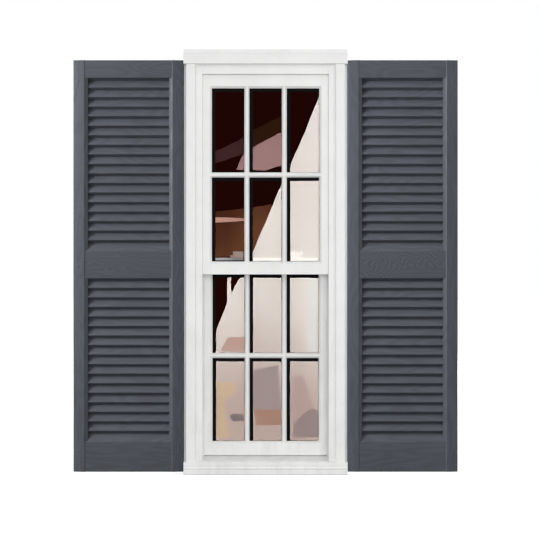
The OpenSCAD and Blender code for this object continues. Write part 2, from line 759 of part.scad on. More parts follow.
module finger_lifts() { color(metal) both() translate([lift_x, 0, 0]) finger_lift(); }
module finger_lift_screws() {
    color(steel) both() for (s = [-1, 1])
        translate([lift_x + s * lift_screw_x, lift_y + lift_t, lift_z + lift_screw_up]) {
            rotate([-90, 0, 0]) cylinder(r = screw_head_r, h = screw_head_h);
            rotate([90, 0, 0]) cylinder(r = screw_r, h = lift_t + lift_screw_depth - 1);
        }
}

// Shutters. A shutter's own x runs from 0 at one edge to shutter_w; its back is y = 0.

// Where the bevel's face lies at depth d
function bevel_at(d) = shutter_stile_w + (shutter_d - d) * bevel_slope;

// How deep the stile's face is at distance u from the shutter's edge
function stile_face_d(u) = edge_d + shutter_fall * u / shutter_stile_w;

// Outer line of a stile's section as [u, y], from the back up over the rounded edge to the bevel's foot
function stile_line() = concat([[0, 0]], arc([edge_r, edge_r - edge_d], edge_r, 180, 270, 6),
    [[shutter_stile_w, -shutter_d], [bevel_at(louvre_root_d), -louvre_root_d]]);

// A moulded stile: an open channel with a sloping face and an inner bevel
module shutter_stile_section() {
    wall_u = shutter_wall * sqrt(1 + bevel_slope * bevel_slope);
    foot_d = louvre_root_d - shutter_wall;
    corner_d = shutter_d - shutter_wall - 0.2;
    polygon(concat(stile_line(),
        [for (d = [foot_d, corner_d]) [bevel_at(d) - wall_u, -d]],
        [[shutter_wall, shutter_wall - edge_d], [shutter_wall, 0]]));
}

// The same stile filled in, for its closed ends
module shutter_stile_end_section() {
    polygon(concat(stile_line(), [[bevel_at(louvre_root_d), 0]]));
}

// Front line of n louvres as [depth, z], down from a rail's lower edge at z
function louvre_line(z, n) = [for (i = [0:n - 1])
    let (root_z = z - i * louvre_pitch - louvre_under) each [
        [louvre_root_d, root_z],
        i < n - 1 ? [louvre_lip_d, root_z + louvre_under - louvre_pitch] : [rail_d, root_z - louvre_last]]];

// Front line of the whole shutter as [depth, z], from its top edge to its bottom edge
function shutter_line() = let (
    upper_lip = shutter_h - shutter_top_h,
    lower_lip = shutter_bottom_h + lower_field_h) concat(
        [[top_rail_d - 2, shutter_h], [top_rail_d, shutter_h - 2], [top_rail_d, upper_lip]],
        louvre_line(upper_lip, upper_count),
        [[rail_d, lower_lip]],
        louvre_line(lower_lip, lower_count),
        [[rail_d, 2], [rail_d - 2, 0]]);

// The louvres and rails as one skin, [y, z], with closed ends at top and bottom
module shutter_skin_section() {
    front = shutter_line();
    last = len(front) - 1;
    back = [for (i = [last:-1:0]) [skin - front[i][0],
        min(max(front[i][1], shutter_wall), shutter_h - shutter_wall)]];
    polygon(concat([[0, shutter_h]], [for (p = front) [-p[0], p[1]]], [[0, 0], [0, shutter_wall]], back,
        [[0, shutter_h - shutter_wall]]));
}

// Section that trims the skin where it runs into the stiles' bevels
module skin_trim_section() {
    inset = shutter_wall * 0.6;
    far_d = shutter_d + past;
    polygon([[bevel_at(far_d) - inset, -far_d], [shutter_w - bevel_at(far_d) + inset, -far_d],
        [shutter_w - bevel_at(-past) + inset, past], [bevel_at(-past) - inset, past]]);
}

// Both stiles of a shutter
module on_both_stiles() {
    children();
    translate([shutter_w, 0, 0]) mirror([1, 0, 0]) children();
}

// Places of the fasteners on a shutter
module at_fasteners() {
    on_both_stiles() for (z = fastener_zs) translate([fastener_inset, 0, z]) children();
}

module shutter() {
    difference() {
        union() {
            on_both_stiles() {
                upright(0, shutter_h) shutter_stile_section();
                upright(0, shutter_wall) shutter_stile_end_section();
                upright(shutter_h - shutter_wall, shutter_h) shutter_stile_end_section();
            }
            intersection() {
                translate([shutter_w / 2, 0, 0]) across(shutter_w) shutter_skin_section();
                upright(-past, shutter_h + past) skin_trim_section();
            }
            at_fasteners() rotate([90, 0, 0]) cylinder(r = fastener_head_r + 1, h = edge_d - 1);
        }
        at_fasteners() {
            translate([0, past, 0]) rotate([90, 0, 0])
                cylinder(r = fastener_neck_r + 0.1, h = shutter_d + 2 * past);
            translate([0, -fastener_seat_d, 0]) rotate([90, 0, 0])
                cylinder(r = fastener_head_r + running, h = shutter_d);
        }
    }
}

// A fastener: a low domed head in its seat, a neck through the shutter, and a shank that stands out behind
module shutter_fastener() {
    dome_h = 2.4;
    dome_r = (fastener_head_r * fastener_head_r + dome_h * dome_h) / (2 * dome_h);
    translate([0, -fastener_seat_d, 0]) {
        intersection() {
            translate([0, dome_r - dome_h, 0]) sphere(r = dome_r, $fn = 96);
            rotate([90, 0, 0]) cylinder(r = fastener_head_r, h = dome_h + past);
        }
        rotate([-90, 0, 0]) cylinder(r = fastener_neck_r, h = fastener_seat_d + past);
        rotate([-90, 0, 0]) cylinder(r = fastener_r, h = fastener_seat_d + fastener_reach);
    }
}

// The right shutter's place beside the casing; the left one is its mirror image
module at_right_shutter() { translate([casing_x, 0, shutter_rise]) children(); }

module shutter_left() { color(vinyl) mirror([1, 0, 0]) at_right_shutter() shutter(); }
module shutter_right() { color(vinyl) at_right_shutter() shutter(); }
module shutter_fasteners_left() {
    color(vinyl) mirror([1, 0, 0]) at_right_shutter() at_fasteners() shutter_fastener();
}
module shutter_fasteners_right() { color(vinyl) at_right_shutter() at_fasteners() shutter_fastener(); }

casing_left();
casing_right();
casing_head();
casing_sill();
jamb_left();
jamb_right();
jamb_head();
sill();
blind_stop_left();
blind_stop_right();
blind_stop_head();
parting_bead_left();
parting_bead_right();
parting_bead_head();
inner_stop_left();
inner_stop_right();
inner_stop_head();
upper_balance_tubes();
lower_balance_tubes();
balance_screws();
shutter_left();
shutter_right();
shutter_fasteners_left();
shutter_fasteners_right();
upper_stile_left();
upper_stile_right();
upper_top_rail();
upper_meeting_rail();
upper_pane_outer();
upper_pane_inner();
upper_spacer();
upper_muntins_outer();
upper_muntins_inner();
upper_glazing_beads();
upper_balance_rods();
upper_head_seal();
meeting_seal();
lock_keepers();
keeper_screws();
lower_stile_left();
lower_stile_right();
lower_meeting_rail();
lower_bottom_rail();
lower_pane_outer();
lower_pane_inner();
lower_spacer();
lower_muntins_outer();
lower_muntins_inner();
lower_glazing_beads();
lower_balance_rods();
lower_sill_seal();
finger_lifts();
finger_lift_screws();
lock_base_left();
lock_base_right();
lock_cam_left();
lock_cam_right();
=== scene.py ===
"""Looks of a six-over-six double-hung window with a fixed louvred shutter on each side.

Metres. x = 0 is the middle of the window, y = 0 the face of the wall with -y outdoors, and z = 0 the floor.
"""

import json
import math

import bmesh
import bpy
import numpy as np
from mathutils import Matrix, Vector

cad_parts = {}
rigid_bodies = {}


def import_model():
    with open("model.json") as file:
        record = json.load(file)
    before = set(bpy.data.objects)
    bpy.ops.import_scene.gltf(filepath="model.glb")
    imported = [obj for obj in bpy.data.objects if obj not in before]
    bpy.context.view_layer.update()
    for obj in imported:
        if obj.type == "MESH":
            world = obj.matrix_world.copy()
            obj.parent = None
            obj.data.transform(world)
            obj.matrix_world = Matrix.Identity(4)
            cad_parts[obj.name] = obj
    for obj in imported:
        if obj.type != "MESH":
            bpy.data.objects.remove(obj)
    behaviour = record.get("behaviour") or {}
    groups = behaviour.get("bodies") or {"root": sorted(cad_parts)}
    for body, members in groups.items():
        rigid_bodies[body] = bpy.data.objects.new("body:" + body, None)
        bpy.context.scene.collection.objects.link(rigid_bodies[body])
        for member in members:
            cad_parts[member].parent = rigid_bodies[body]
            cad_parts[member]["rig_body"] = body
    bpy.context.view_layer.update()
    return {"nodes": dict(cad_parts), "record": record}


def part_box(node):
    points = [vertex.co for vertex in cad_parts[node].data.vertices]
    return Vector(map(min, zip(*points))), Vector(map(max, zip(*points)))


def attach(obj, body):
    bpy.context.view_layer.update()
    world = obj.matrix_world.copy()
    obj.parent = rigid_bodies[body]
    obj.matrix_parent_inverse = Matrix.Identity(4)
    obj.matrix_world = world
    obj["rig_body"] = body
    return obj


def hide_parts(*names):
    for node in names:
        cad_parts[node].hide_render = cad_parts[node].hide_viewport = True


bl_info = {
    "name": "Louvred shutters and sash window",
    "version": (1, 0, 0),
    "blender": (4, 5, 0),
    "location": "View3D > Sidebar > Shutters",
    "description": "Finishes a double-hung window and the louvred shutters beside it",
    "category": "Add Mesh",
}

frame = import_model()
SLOTS = {part["node"]: part["material_slot"] for part in frame["record"]["subparts"]}
BODIES = {name: node["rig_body"] for name, node in frame["nodes"].items()}
MM = 0.001
SIDES = ("left", "right")
SASHES = ("upper", "lower")


# ---- Sizes and colours a user would change


def length(name, about, default):
    """A length property in metres."""
    return bpy.props.FloatProperty(name=name, description=about, default=default, min=0, unit="LENGTH")


def colour(name, about, default):
    """A linear colour property."""
    return bpy.props.FloatVectorProperty(name=name, description=about, default=default, size=3,
                                         min=0, max=1, subtype="COLOR")


class ShutterSettings(bpy.types.PropertyGroup):
    """The moulded shutters."""
    upper_louvres: bpy.props.IntProperty(name="Louvres above the middle rail", default=18, min=1)
    lower_louvres: bpy.props.IntProperty(name="Louvres below the middle rail", default=17, min=1)
    pitch: length("Louvre pitch", "Height from one louvre to the next", 32.4 * MM)
    under: length("Louvre underside", "Height of a louvre's shaded underside", 8 * MM)
    last: length("Last louvre", "Height of the face of the louvre above a rail", 29.5 * MM)
    root: length("Louvre root", "Depth of a louvre's root off the wall", 10 * MM)
    lip: length("Louvre lip", "Depth of a louvre's lip off the wall", 24 * MM)
    bulge: length("Louvre bulge", "How far a louvre's face swells in its middle", 0.7 * MM)
    stile: length("Stile face", "Width of the flat face of a stile", 37.5 * MM)
    bevel: length("Stile bevel", "Width of the bevel down to the louvres", 13.5 * MM)
    bevel_foot: length("Bevel foot", "Depth where the bevel's shallow slope ends", 24.4 * MM)
    bevel_share: bpy.props.FloatProperty(name="Shallow share of the bevel", default=0.86, min=0.1, max=1.0)
    rail_step: length("Rail step", "How far the rails lie below the stiles' faces", 1.8 * MM)
    fall: length("Stile fall", "How much a stile's face falls towards its edge", 4 * MM)
    top_rail: length("Top rail", "Height of the top rail", 59.6 * MM)
    middle_rail: length("Middle rail", "Height of the middle rail", 92 * MM)
    bottom_rail: length("Bottom rail", "Height of the bottom rail", 101.2 * MM)
    wall: length("Wall", "Wall of the moulding", 3 * MM)
    vinyl: colour("Vinyl", "Colour of the moulded vinyl", (0.058, 0.063, 0.078))
    relief: length("Grain relief", "Height of the moulded wood grain", 0.30 * MM)


class WindowSettings(bpy.types.PropertyGroup):
    """The window, its casing and its glass."""
    bar: length("Glazing bar", "Width of a glazing bar at the glass", 17.0 * MM)
    bar_out: length("Outdoor bar depth", "How far an outdoor bar stands off the glass", 10 * MM)
    bar_in: length("Indoor bar depth", "How far an indoor bar stands off the glass", 6 * MM)
    edge: length("Edge", "Radius of the softened edges of the woodwork", 1.0 * MM)
    # The wide black strips at the left and top of each light, and under the lower sash's meeting rail, are
    # painted shadow of the bars and rails. The thin strips at the right and bottom are seals.
    painted_shadow_wide: length("Wide painted shadow", "Width of the painted shadow at the left and top of a light", 12.0 * MM)
    painted_shadow_meeting: length("Meeting rail's painted shadow", "Width of the painted shadow under the meeting rail", 27.0 * MM)
    tape_thin: length("Thin seal", "Width of the seal at the right and bottom of a light", 1.0 * MM)
    paint: colour("Paint", "Colour of the white paint", (0.83, 0.83, 0.825))
    tint: colour("Glass tint", "Tint of each pane", (0.93, 0.91, 0.89))
    metal: colour("Lock enamel", "Colour of the locks and lifts", (0.46, 0.46, 0.44))


class StageSettings(bpy.types.PropertyGroup):
    """The camera, the lights and the floor."""
    distance: length("Camera distance", "From the wall's face to the camera", 4.23)
    view_width: length("View width", "Width seen at the object", 1.8306)
    aim_x: length("Aim sideways", "Where the camera looks, to the right of the middle", 0.0151)
    aim_z: length("Aim height", "Height of the camera and of what it looks at", 0.695)
    floor: colour("Floor", "Colour of the floor", (0.90, 0.90, 0.895))


# ---- Materials


class Socket:
    """An output socket in a node tree. Arithmetic on it adds the Math node that works it out."""

    def __init__(self, tree, socket):
        self.tree, self.socket = tree, socket

    def math(self, operation, *others):
        return add_node(self.tree, "Math", self, *others, operation=operation)

    def __add__(self, other):
        return self.math("ADD", other)

    __radd__ = __add__

    def __sub__(self, other):
        return self.math("SUBTRACT", other)

    def __rsub__(self, other):
        return add_node(self.tree, "Math", other, self, operation="SUBTRACT")

    def __mul__(self, other):
        return self.math("MULTIPLY", other)

    __rmul__ = __mul__


def connect(tree, slot, value):
    """Puts a number, a colour or another socket into an input."""
    if isinstance(value, Socket):
        tree.links.new(value.socket, slot)
    elif isinstance(value, tuple) and len(value) == 3 and slot.type == "RGBA":
        slot.default_value = (*value, 1)
    else:
        slot.default_value = value


def add_node(tree, kind, *values, out=0, **settings):
    """A new node, as one of its outputs: its settings are made first, then its inputs are filled in
    order. Only inputs and outputs in use count."""
    node = tree.nodes.new("ShaderNode" + kind)
    for name, value in settings.items():
        setattr(node, name, value)
    for slot, value in zip([s for s in node.inputs if s.enabled], values):
        connect(tree, slot, value)
    return Socket(tree, [s for s in node.outputs if s.enabled][out])


class Finish:
    """A material whose nodes are added one call at a time."""

    def __init__(self, name, **sockets):
        self.material = bpy.data.materials.new(name)
        self.material.use_nodes = True
        self.tree = self.material.node_tree
        self.set(**sockets)

    def set(self, **sockets):
        """Values or links for the shader's own sockets, their spaces written as underscores."""
        for name, value in sockets.items():
            connect(self.tree, self.tree.nodes["Principled BSDF"].inputs[name.replace("_", " ")], value)

    def node(self, kind, *values, **settings):
        """Any node of the material, as add_node makes it."""
        return add_node(self.tree, kind, *values, **settings)

    def place(self):
        """Object coordinates, in metres."""
        return self.node("TexCoord", out=3)

    def part(self, vector, axis):
        """A vector's x, y or z, for axis 0, 1 or 2."""
        return self.node("SeparateXYZ", vector, out=axis)

    def noise(self, vector, scale, detail=3, rough=0.5):
        """Noise of about 0 to 1 over a vector, at one scale or at one for each axis."""
        if isinstance(scale, tuple):
            vector, scale = self.node("VectorMath", vector, scale, operation="MULTIPLY"), 1.0
        return self.node("TexNoise", vector, scale, detail, rough)

    def between(self, value, low, high, start=0.0, end=1.0):
        """A value's place from low to high, clamped, as a number from start to end."""
        return self.node("MapRange", value, low, high, start, end, interpolation_type="SMOOTHSTEP")

    def blend(self, share, first, second):
        """A mix of two colours."""
        return self.node("Mix", share, first, second, data_type="RGBA")

    def bump(self, height, distance, strength):
        """Relief of the given height, in metres."""
        self.set(Normal=self.node("Bump", strength, distance, BUMP_FILTER, height))


def shade(base, factor):
    """A colour times a number, each part at most 1."""
    return tuple(min(1.0, part * factor) for part in base)


# Filter width of every bump
BUMP_FILTER = 0.1
# Added to a grain seed where the wood figure is a row of nested vees
FIGURED = 50.0
# Half a vee's length, and radians of rings: for each metre in a vee, and for each unit of noise outside
VEE_REACH = 33 * MM
VEE_RINGS = 460.0
PLAIN_RINGS = 62.0


def pores(f, vector):
    """Short pores, drawn out along a vector's x."""
    return f.noise(vector, (30.0, 620.0, 1.0), detail=2, rough=0.6)


def wood_figure(f):
    """Height of moulded wood grain: wavy rings, or patches of nested vees where the seed is figured, with
    streaks and pores. The grain attribute holds (along, across, seed)."""
    grain = f.node("Attribute", attribute_name="grain", out=1)
    along, across, seed = (f.part(grain, axis) for axis in range(3))
    figured = f.between(seed, 0.5 * FIGURED, 0.6 * FIGURED)
    waves = f.noise(grain, (3.4, 17.0, 1.0), detail=1.5, rough=0.4)
    patch = f.between(f.noise(grain, (8.0, 14.0, 1.0), detail=1), 0.40, 0.62)
    peaks = (along + waves * 0.14).math("PINGPONG", VEE_REACH) * patch * 0.85 + across + waves * 0.05
    vees = (peaks * VEE_RINGS).math("SINE") * (patch * 0.9 + 0.3) + 0.5
    rings = vees * figured + ((waves * PLAIN_RINGS).math("SINE") * 0.5 + 0.5) * (1 - figured)
    streaks = f.noise(grain, (9.0, 150.0, 1.0), detail=3, rough=0.6)
    return rings * 0.45 + streaks * 0.35 + pores(f, grain) * 0.2


def vinyl_finish(name, base, relief, grained=True):
    """Moulded vinyl with a low sheen and faint chalking: a wood figure, or pores alone."""
    f = Finish(name, IOR=1.46)
    figure = wood_figure(f) if grained else pores(f, f.place()) * 0.3 + 0.35
    patches = f.noise(f.place(), 5.5, detail=3)
    light = f.between(figure * 0.6 + patches * 0.4, 0.2, 0.8)
    f.set(Base_Color=f.blend(light, shade(base, 0.84), shade(base, 1.16)),
          Roughness=f.between(figure, 0.2, 0.8, 0.58, 0.46))
    f.bump(figure, relief, 0.7)
    return f.material


# Colour of the dust that settles on the paint
DUST = (0.52, 0.51, 0.485)


def paint_finish(name, base, stretch):
    """Satin paint: brush marks along the member, a soft mottle, and a little dust towards the bottom."""
    f = Finish(name, IOR=1.45, Coat_Roughness=0.25)
    place = f.place()
    brush = f.noise(place, stretch, detail=2, rough=0.55)
    mottle = f.noise(place, 9.0, detail=4, rough=0.6)
    dust = f.noise(place, (30.0, 30.0, 8.0), detail=4, rough=0.65)
    clean = f.blend(f.between(mottle, 0.3, 0.7), shade(base, 0.965), shade(base, 1.02))
    low = f.between(f.part(place, 2), 0.0, 0.9, 0.22, 0.03) * f.between(dust, 0.42, 0.72)
    f.set(Base_Color=f.blend(low, clean, DUST), Coat_Weight=0.12,
          Roughness=f.between(brush + mottle * 0.5, 0.4, 1.1, 0.36, 0.5))
    f.bump(brush * 0.6 + mottle * 0.4, 0.12 * MM, 0.6)
    return f.material


def glass_finish(name, tint):
    """Clear glass with a faint tint and the slight waviness of a sealed unit."""
    f = Finish(name, IOR=1.5, Roughness=0.0, Transmission_Weight=1.0)
    place = f.place()
    film = f.noise(place, (5.0, 5.0, 9.0), detail=4, rough=0.6)
    f.set(Base_Color=f.blend(f.between(film, 0.35, 0.75), tint, shade(tint, 0.93)))
    wave = f.noise(place, (2.6, 0.2, 3.4), detail=1, rough=0.4)
    f.bump(wave, 1.2 * MM, 0.5)
    return f.material


def rubber_finish(name, base):
    """Black rubber or plastic with fine drag marks and patches of grey dust."""
    f = Finish(name, IOR=1.5)
    place = f.place()
    drag = f.noise(place, 420.0, detail=2)
    dust = f.noise(place, 38.0, detail=3)
    f.set(Base_Color=f.blend(f.between(dust, 0.5, 0.8, 0.0, 0.5), base, shade(base, 2.2)),
          Roughness=f.between(drag, 0.3, 0.7, 0.6, 0.8), Specular_IOR_Level=0.06)
    f.bump(drag, 0.1 * MM, 0.5)
    return f.material


def pile_finish(name, base):
    """Woven-pile weather seal: short fibres that stand in close rows."""
    f = Finish(name, IOR=1.4)
    place = f.place()
    fibres = f.noise(place, (1500.0, 1500.0, 180.0), detail=2, rough=0.7)
    f.set(Base_Color=f.blend(fibres, shade(base, 0.6), shade(base, 2.0)), Roughness=0.9)
    f.bump(fibres, 0.5 * MM, 0.9)
    return f.material


def enamel_finish(name, base):
    """Baked enamel on cast metal: a light orange-peel and worn, duller patches."""
    f = Finish(name, IOR=1.5)
    place = f.place()
    peel = f.noise(place, 700.0, detail=2)
    wear = f.noise(place, 60.0, detail=4, rough=0.7)
    worn = f.between(wear, 0.6, 0.75)
    f.set(Base_Color=f.blend(worn, base, shade(base, 0.72)), Coat_Weight=0.3,
          Roughness=f.between(wear, 0.3, 0.8, 0.26, 0.46))
    f.bump(peel, 0.08 * MM, 0.5)
    return f.material


def metal_finish(name, base, rough, stretch):
    """Drawn or plated metal: fine lines or grain, by the stretch of the noise, and a faint bloom."""
    f = Finish(name, Metallic=1.0)
    place = f.place()
    lines = f.noise(place, stretch, detail=2)
    bloom = f.noise(place, 45.0, detail=3)
    f.set(Base_Color=f.blend(f.between(bloom, 0.35, 0.75), base, shade(base, 0.8)),
          Roughness=f.between(lines + bloom * 0.6, 0.4, 1.2, rough - 0.08, rough + 0.12))
    f.bump(lines, 0.03 * MM, 0.5)
    return f.material


# ---- Shapes


# Half the angle between two sides, in radians, that counts as straight
STRAIGHT = 1.55
# Share of a side that an arc at its end may take up
ARC_SHARE = 0.48


def rounded(corners, steps):
    """An outline from corners (a, b) or (a, b, radius): a radius makes an arc that touches both sides."""
    spots = np.array([c[:2] for c in corners], float)
    line = []
    for i, (spot, corner) in enumerate(zip(spots, corners)):
        if len(corner) == 2:
            line.append(spot)
            continue
        before, after = spots[i - 1] - spot, spots[(i + 1) % len(spots)] - spot
        long_b, long_a = np.linalg.norm(before), np.linalg.norm(after)
        before, after = before / long_b, after / long_a
        half = math.acos(np.clip(before @ after, -1, 1)) / 2
        if half > STRAIGHT:
            line.append(spot)
            continue
        reach = min(corner[2] / math.tan(half), ARC_SHARE * long_b, ARC_SHARE * long_a)
        radius = reach * math.tan(half)
        middle = (before + after) / np.linalg.norm(before + after)
        centre = spot + middle * radius / math.sin(half)
        first, last = spot + before * reach - centre, spot + after * reach - centre
        start = math.atan2(first[1], first[0])
        turn = (math.atan2(last[1], last[0]) - start + math.pi) % (2 * math.pi) - math.pi
        angles = start + turn * np.linspace(0, 1, steps + 1)
        line.extend(centre + radius * np.stack([np.cos(angles), np.sin(angles)], -1))
    return np.array(line)


def spread(outline):
    """Length along an outline up to each of its points."""
    steps = np.linalg.norm(np.diff(outline, axis=0), axis=1)
    return np.concatenate([[0], np.cumsum(steps)])


class Shell:
    """Points, faces and grain of a piece, gathered from one or more closed surfaces."""

    def __init__(self):
        self.points, self.faces, self.grain, self.count = [], [], [], 0

    def add(self, grid, grain=None, ring=False, strip=False):
        """A surface through a grid (rows, cols, 3) of closed outlines. Rows join into a ring, or the two
        ends get caps: one face each, or in a strip, faces from its front line across to its back."""
        rows, cols = grid.shape[:2]
        i, j = np.meshgrid(np.arange(rows - (not ring)), np.arange(cols), indexing="ij")
        i2, j2 = (i + 1) % rows, (j + 1) % cols
        faces = np.stack([i * cols + j, i2 * cols + j, i2 * cols + j2, i * cols + j2], -1)
        faces = (faces.reshape(-1, 4) + self.count).tolist()
        if not ring:
            for base in (self.count, self.count + (rows - 1) * cols):
                if strip:
                    k = np.arange(cols // 2 - 1)
                    faces += (np.stack([k, k + 1, cols - 2 - k, cols - 1 - k], -1) + base).tolist()
                else:
                    faces.append((np.arange(cols) + base).tolist())
        self.faces += faces
        self.points.append(grid.reshape(-1, 3))
        self.grain.append(np.zeros((rows * cols, 3)) if grain is None else grain.reshape(-1, 3))
        self.count += rows * cols
        return self


def carried(outline, start, end, axis):
    """An outline carried along x (axis 0) or z (axis 2), each end a number or one for each point."""
    grid = np.zeros((2, len(outline), 3))
    grid[..., [a for a in range(3) if a != axis]] = outline
    grid[0, :, axis], grid[1, :, axis] = start, end
    return grid


def turned(profile, centre, sides):
    """A profile (radius, place) turned about a line through the centre along y."""
    turn = np.linspace(0, 2 * np.pi, sides, endpoint=False)
    radius, place = profile[:, :1], profile[:, 1:]
    grid = np.zeros((len(profile), sides, 3))
    grid[:, :, 0] = centre[0] + radius * np.cos(turn)
    grid[:, :, 1] = centre[1] + place
    grid[:, :, 2] = centre[2] + radius * np.sin(turn)
    return grid


def new_object(name, data):
    """An object in the scene, at the origin."""
    made = bpy.data.objects.new(name, data)
    bpy.context.scene.collection.objects.link(made)
    return made


def make_piece(name, shell, material, body, crease):
    """A shell as an object at the origin that rides on a CAD body, with its normals outwards."""
    mesh = bpy.data.meshes.new(name)
    mesh.from_pydata(np.concatenate(shell.points).tolist(), [], shell.faces)
    grain = mesh.attributes.new("grain", "FLOAT_VECTOR", "POINT")
    grain.data.foreach_set("vector", np.concatenate(shell.grain).astype(np.float32).ravel())
    faces = bmesh.new()
    faces.from_mesh(mesh)
    bmesh.ops.recalc_face_normals(faces, faces=faces.faces)
    faces.to_mesh(mesh)
    faces.free()
    mesh.shade_smooth()
    mesh.set_sharp_from_angle(angle=math.radians(crease))
    mesh.materials.append(material)
    piece = new_object(name, mesh)
    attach(piece, body)
    return piece


def stand_in(node, ending, shell, material, crease=38):
    """A shell as the piece that replaces a CAD node, on the same body; the node is hidden."""
    piece = make_piece(node + ending, shell, material, BODIES[node], crease)
    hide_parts(node)


# Points closer than this are one point, and faces within this angle, in degrees, are one face
WELD = 0.02 * MM
FLAT = 0.6
# The angle, in degrees, from which an edge is rounded over
SHARP = 30


def softened(node, material, width, segments=2):
    """A merged copy of a CAD node's mesh with its sharp edges rounded over."""
    source = frame["nodes"][node]
    mesh = source.data.copy()
    mesh.name = node + "_finished"
    merged = bmesh.new()
    merged.from_mesh(mesh)
    bmesh.ops.remove_doubles(merged, verts=merged.verts, dist=WELD)
    bmesh.ops.dissolve_limit(merged, angle_limit=math.radians(FLAT), verts=merged.verts, edges=merged.edges)
    merged.to_mesh(mesh)
    merged.free()
    mesh.shade_smooth()
    mesh.materials.clear()
    mesh.materials.append(material)
    piece = new_object(mesh.name, mesh)
    edge = piece.modifiers.new("soft edges", "BEVEL")
    edge.width, edge.segments, edge.limit_method = width, segments, "ANGLE"
    edge.angle_limit = math.radians(SHARP)
    flat = piece.modifiers.new("flat faces", "WEIGHTED_NORMAL")
    flat.mode, flat.weight, flat.keep_sharp = "FACE_AREA", 90, True
    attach(piece, BODIES[node])
    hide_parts(node)


def corners_of(node):
    """A CAD node's lowest and highest corners."""
    return np.array(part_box(node))


# ---- Shutters


# Radius of a shutter's ends, and of the ridge between a stile's face and its bevel
ROUND_OVER = 1.6 * MM
# Depth of the hollow in the bevel, and how far the stile's channel stops short of each end
BEVEL_HOLLOW = 0.5 * MM
CHANNEL_GAP = 0.4 * MM


def bevel_place(s, depth, face_depth):
    """Distance of the bevel's face from the shutter's edge at a depth: a shallow slope to its foot, then
    a steep one to the louvres' roots."""
    near, far = s.stile + s.bevel * s.bevel_share, s.stile + s.bevel
    return np.interp(depth, (s.root, s.bevel_foot, face_depth), (far, near, s.stile))


def grain_over(grid, along, across, seed):
    """The grain of a grid: (along, across, seed), each a number or an array."""
    grain = np.zeros(grid.shape)
    grain[..., 0], grain[..., 1], grain[..., 2] = along, across, seed
    return grain


def stile_shell(shell, s, low, high, left_side, seed):
    """One stile: a channel section (u, depth) with a sloping face and a slightly hollow bevel, carried up
    the shutter, and a filled plate at each end. u starts at the shutter's left or right edge."""
    depth = high[1] - low[1]
    edge_depth = depth - s.fall
    width, drop, inner = s.bevel * s.bevel_share, depth - s.bevel_foot, s.stile + s.bevel
    share = np.linspace(0, 1, 5)[1:-1]
    hollow = [(s.stile + width * t, depth - drop * t - BEVEL_HOLLOW * math.sin(math.pi * t)) for t in share]
    front = [(0, 0), (0, edge_depth, s.wall), (s.stile, depth, ROUND_OVER), *hollow,
             (s.stile + width, s.bevel_foot, 0.8 * MM), (inner, s.root)]
    back = [(inner - s.wall, s.root - s.wall), (s.stile + width - s.wall, s.bevel_foot - s.wall),
            (s.stile - 0.2 * MM, depth - s.wall - 0.2 * MM), (s.wall, edge_depth - s.wall), (s.wall, 0)]

    def placed(outline):
        u = low[0] + outline[:, 0] if left_side else high[0] - outline[:, 0]
        return np.stack([u, high[1] - outline[:, 1]], -1)

    outline = rounded(front + back, 6)
    grid = carried(placed(outline), low[2] + CHANNEL_GAP, high[2] - CHANNEL_GAP, 2)
    shell.add(grid, grain_over(grid, grid[..., 2], spread(outline), seed))
    outline = rounded(front + [(inner, 0)], 6)
    reach = outline.max(0)
    turn = np.linspace(0, math.pi / 2, 5)
    insets = ROUND_OVER * np.append(1 - np.sin(turn), 0)
    rises = np.append(ROUND_OVER * (1 - np.cos(turn)), s.wall)
    for end, way in ((low[2], 1), (high[2], -1)):
        rows = []
        for inset, rise in zip(insets, rises):
            shrunk = outline.copy()
            shrunk[:, 1] *= 1 - inset / reach[1]
            shrunk[:, 0] += inset * (1 - outline[:, 0] / reach[0])
            at = placed(shrunk)
            rows.append(np.column_stack([at, np.full(len(at), end + way * rise)]))
        grid = np.array(rows)
        shell.add(grid, grain_over(grid, grid[..., 2], spread(outline), seed))


# Radii at a louvre's root and lip, at the rails' edges beside the louvres, and at the ends
ROOT_RADIUS = 1.4 * MM
LIP_RADIUS = 2.0 * MM
RAIL_RADIUS = 2.2 * MM
END_RADIUS = 1.5 * MM


def louvre_line(s, lip_z, count, rail_depth):
    """Front line of a bank of louvres, down from a rail's edge, as corners (depth, z, radius). Each face
    swells a little, as a shallow arc."""
    line = []
    for i in range(count):
        root_z = lip_z - i * s.pitch - s.under
        last = i == count - 1
        drop = s.last if last else s.pitch - s.under
        lip_depth = rail_depth if last else s.lip
        line.append((s.root, root_z, ROOT_RADIUS))
        for t in (0.3, 0.6, 0.85):
            swell = s.bulge * math.sin(math.pi * t)
            line.append((s.root + (lip_depth - s.root) * t + swell, root_z - drop * t))
        line.append((lip_depth, root_z - drop, 2 * LIP_RADIUS if last else LIP_RADIUS))
    return line


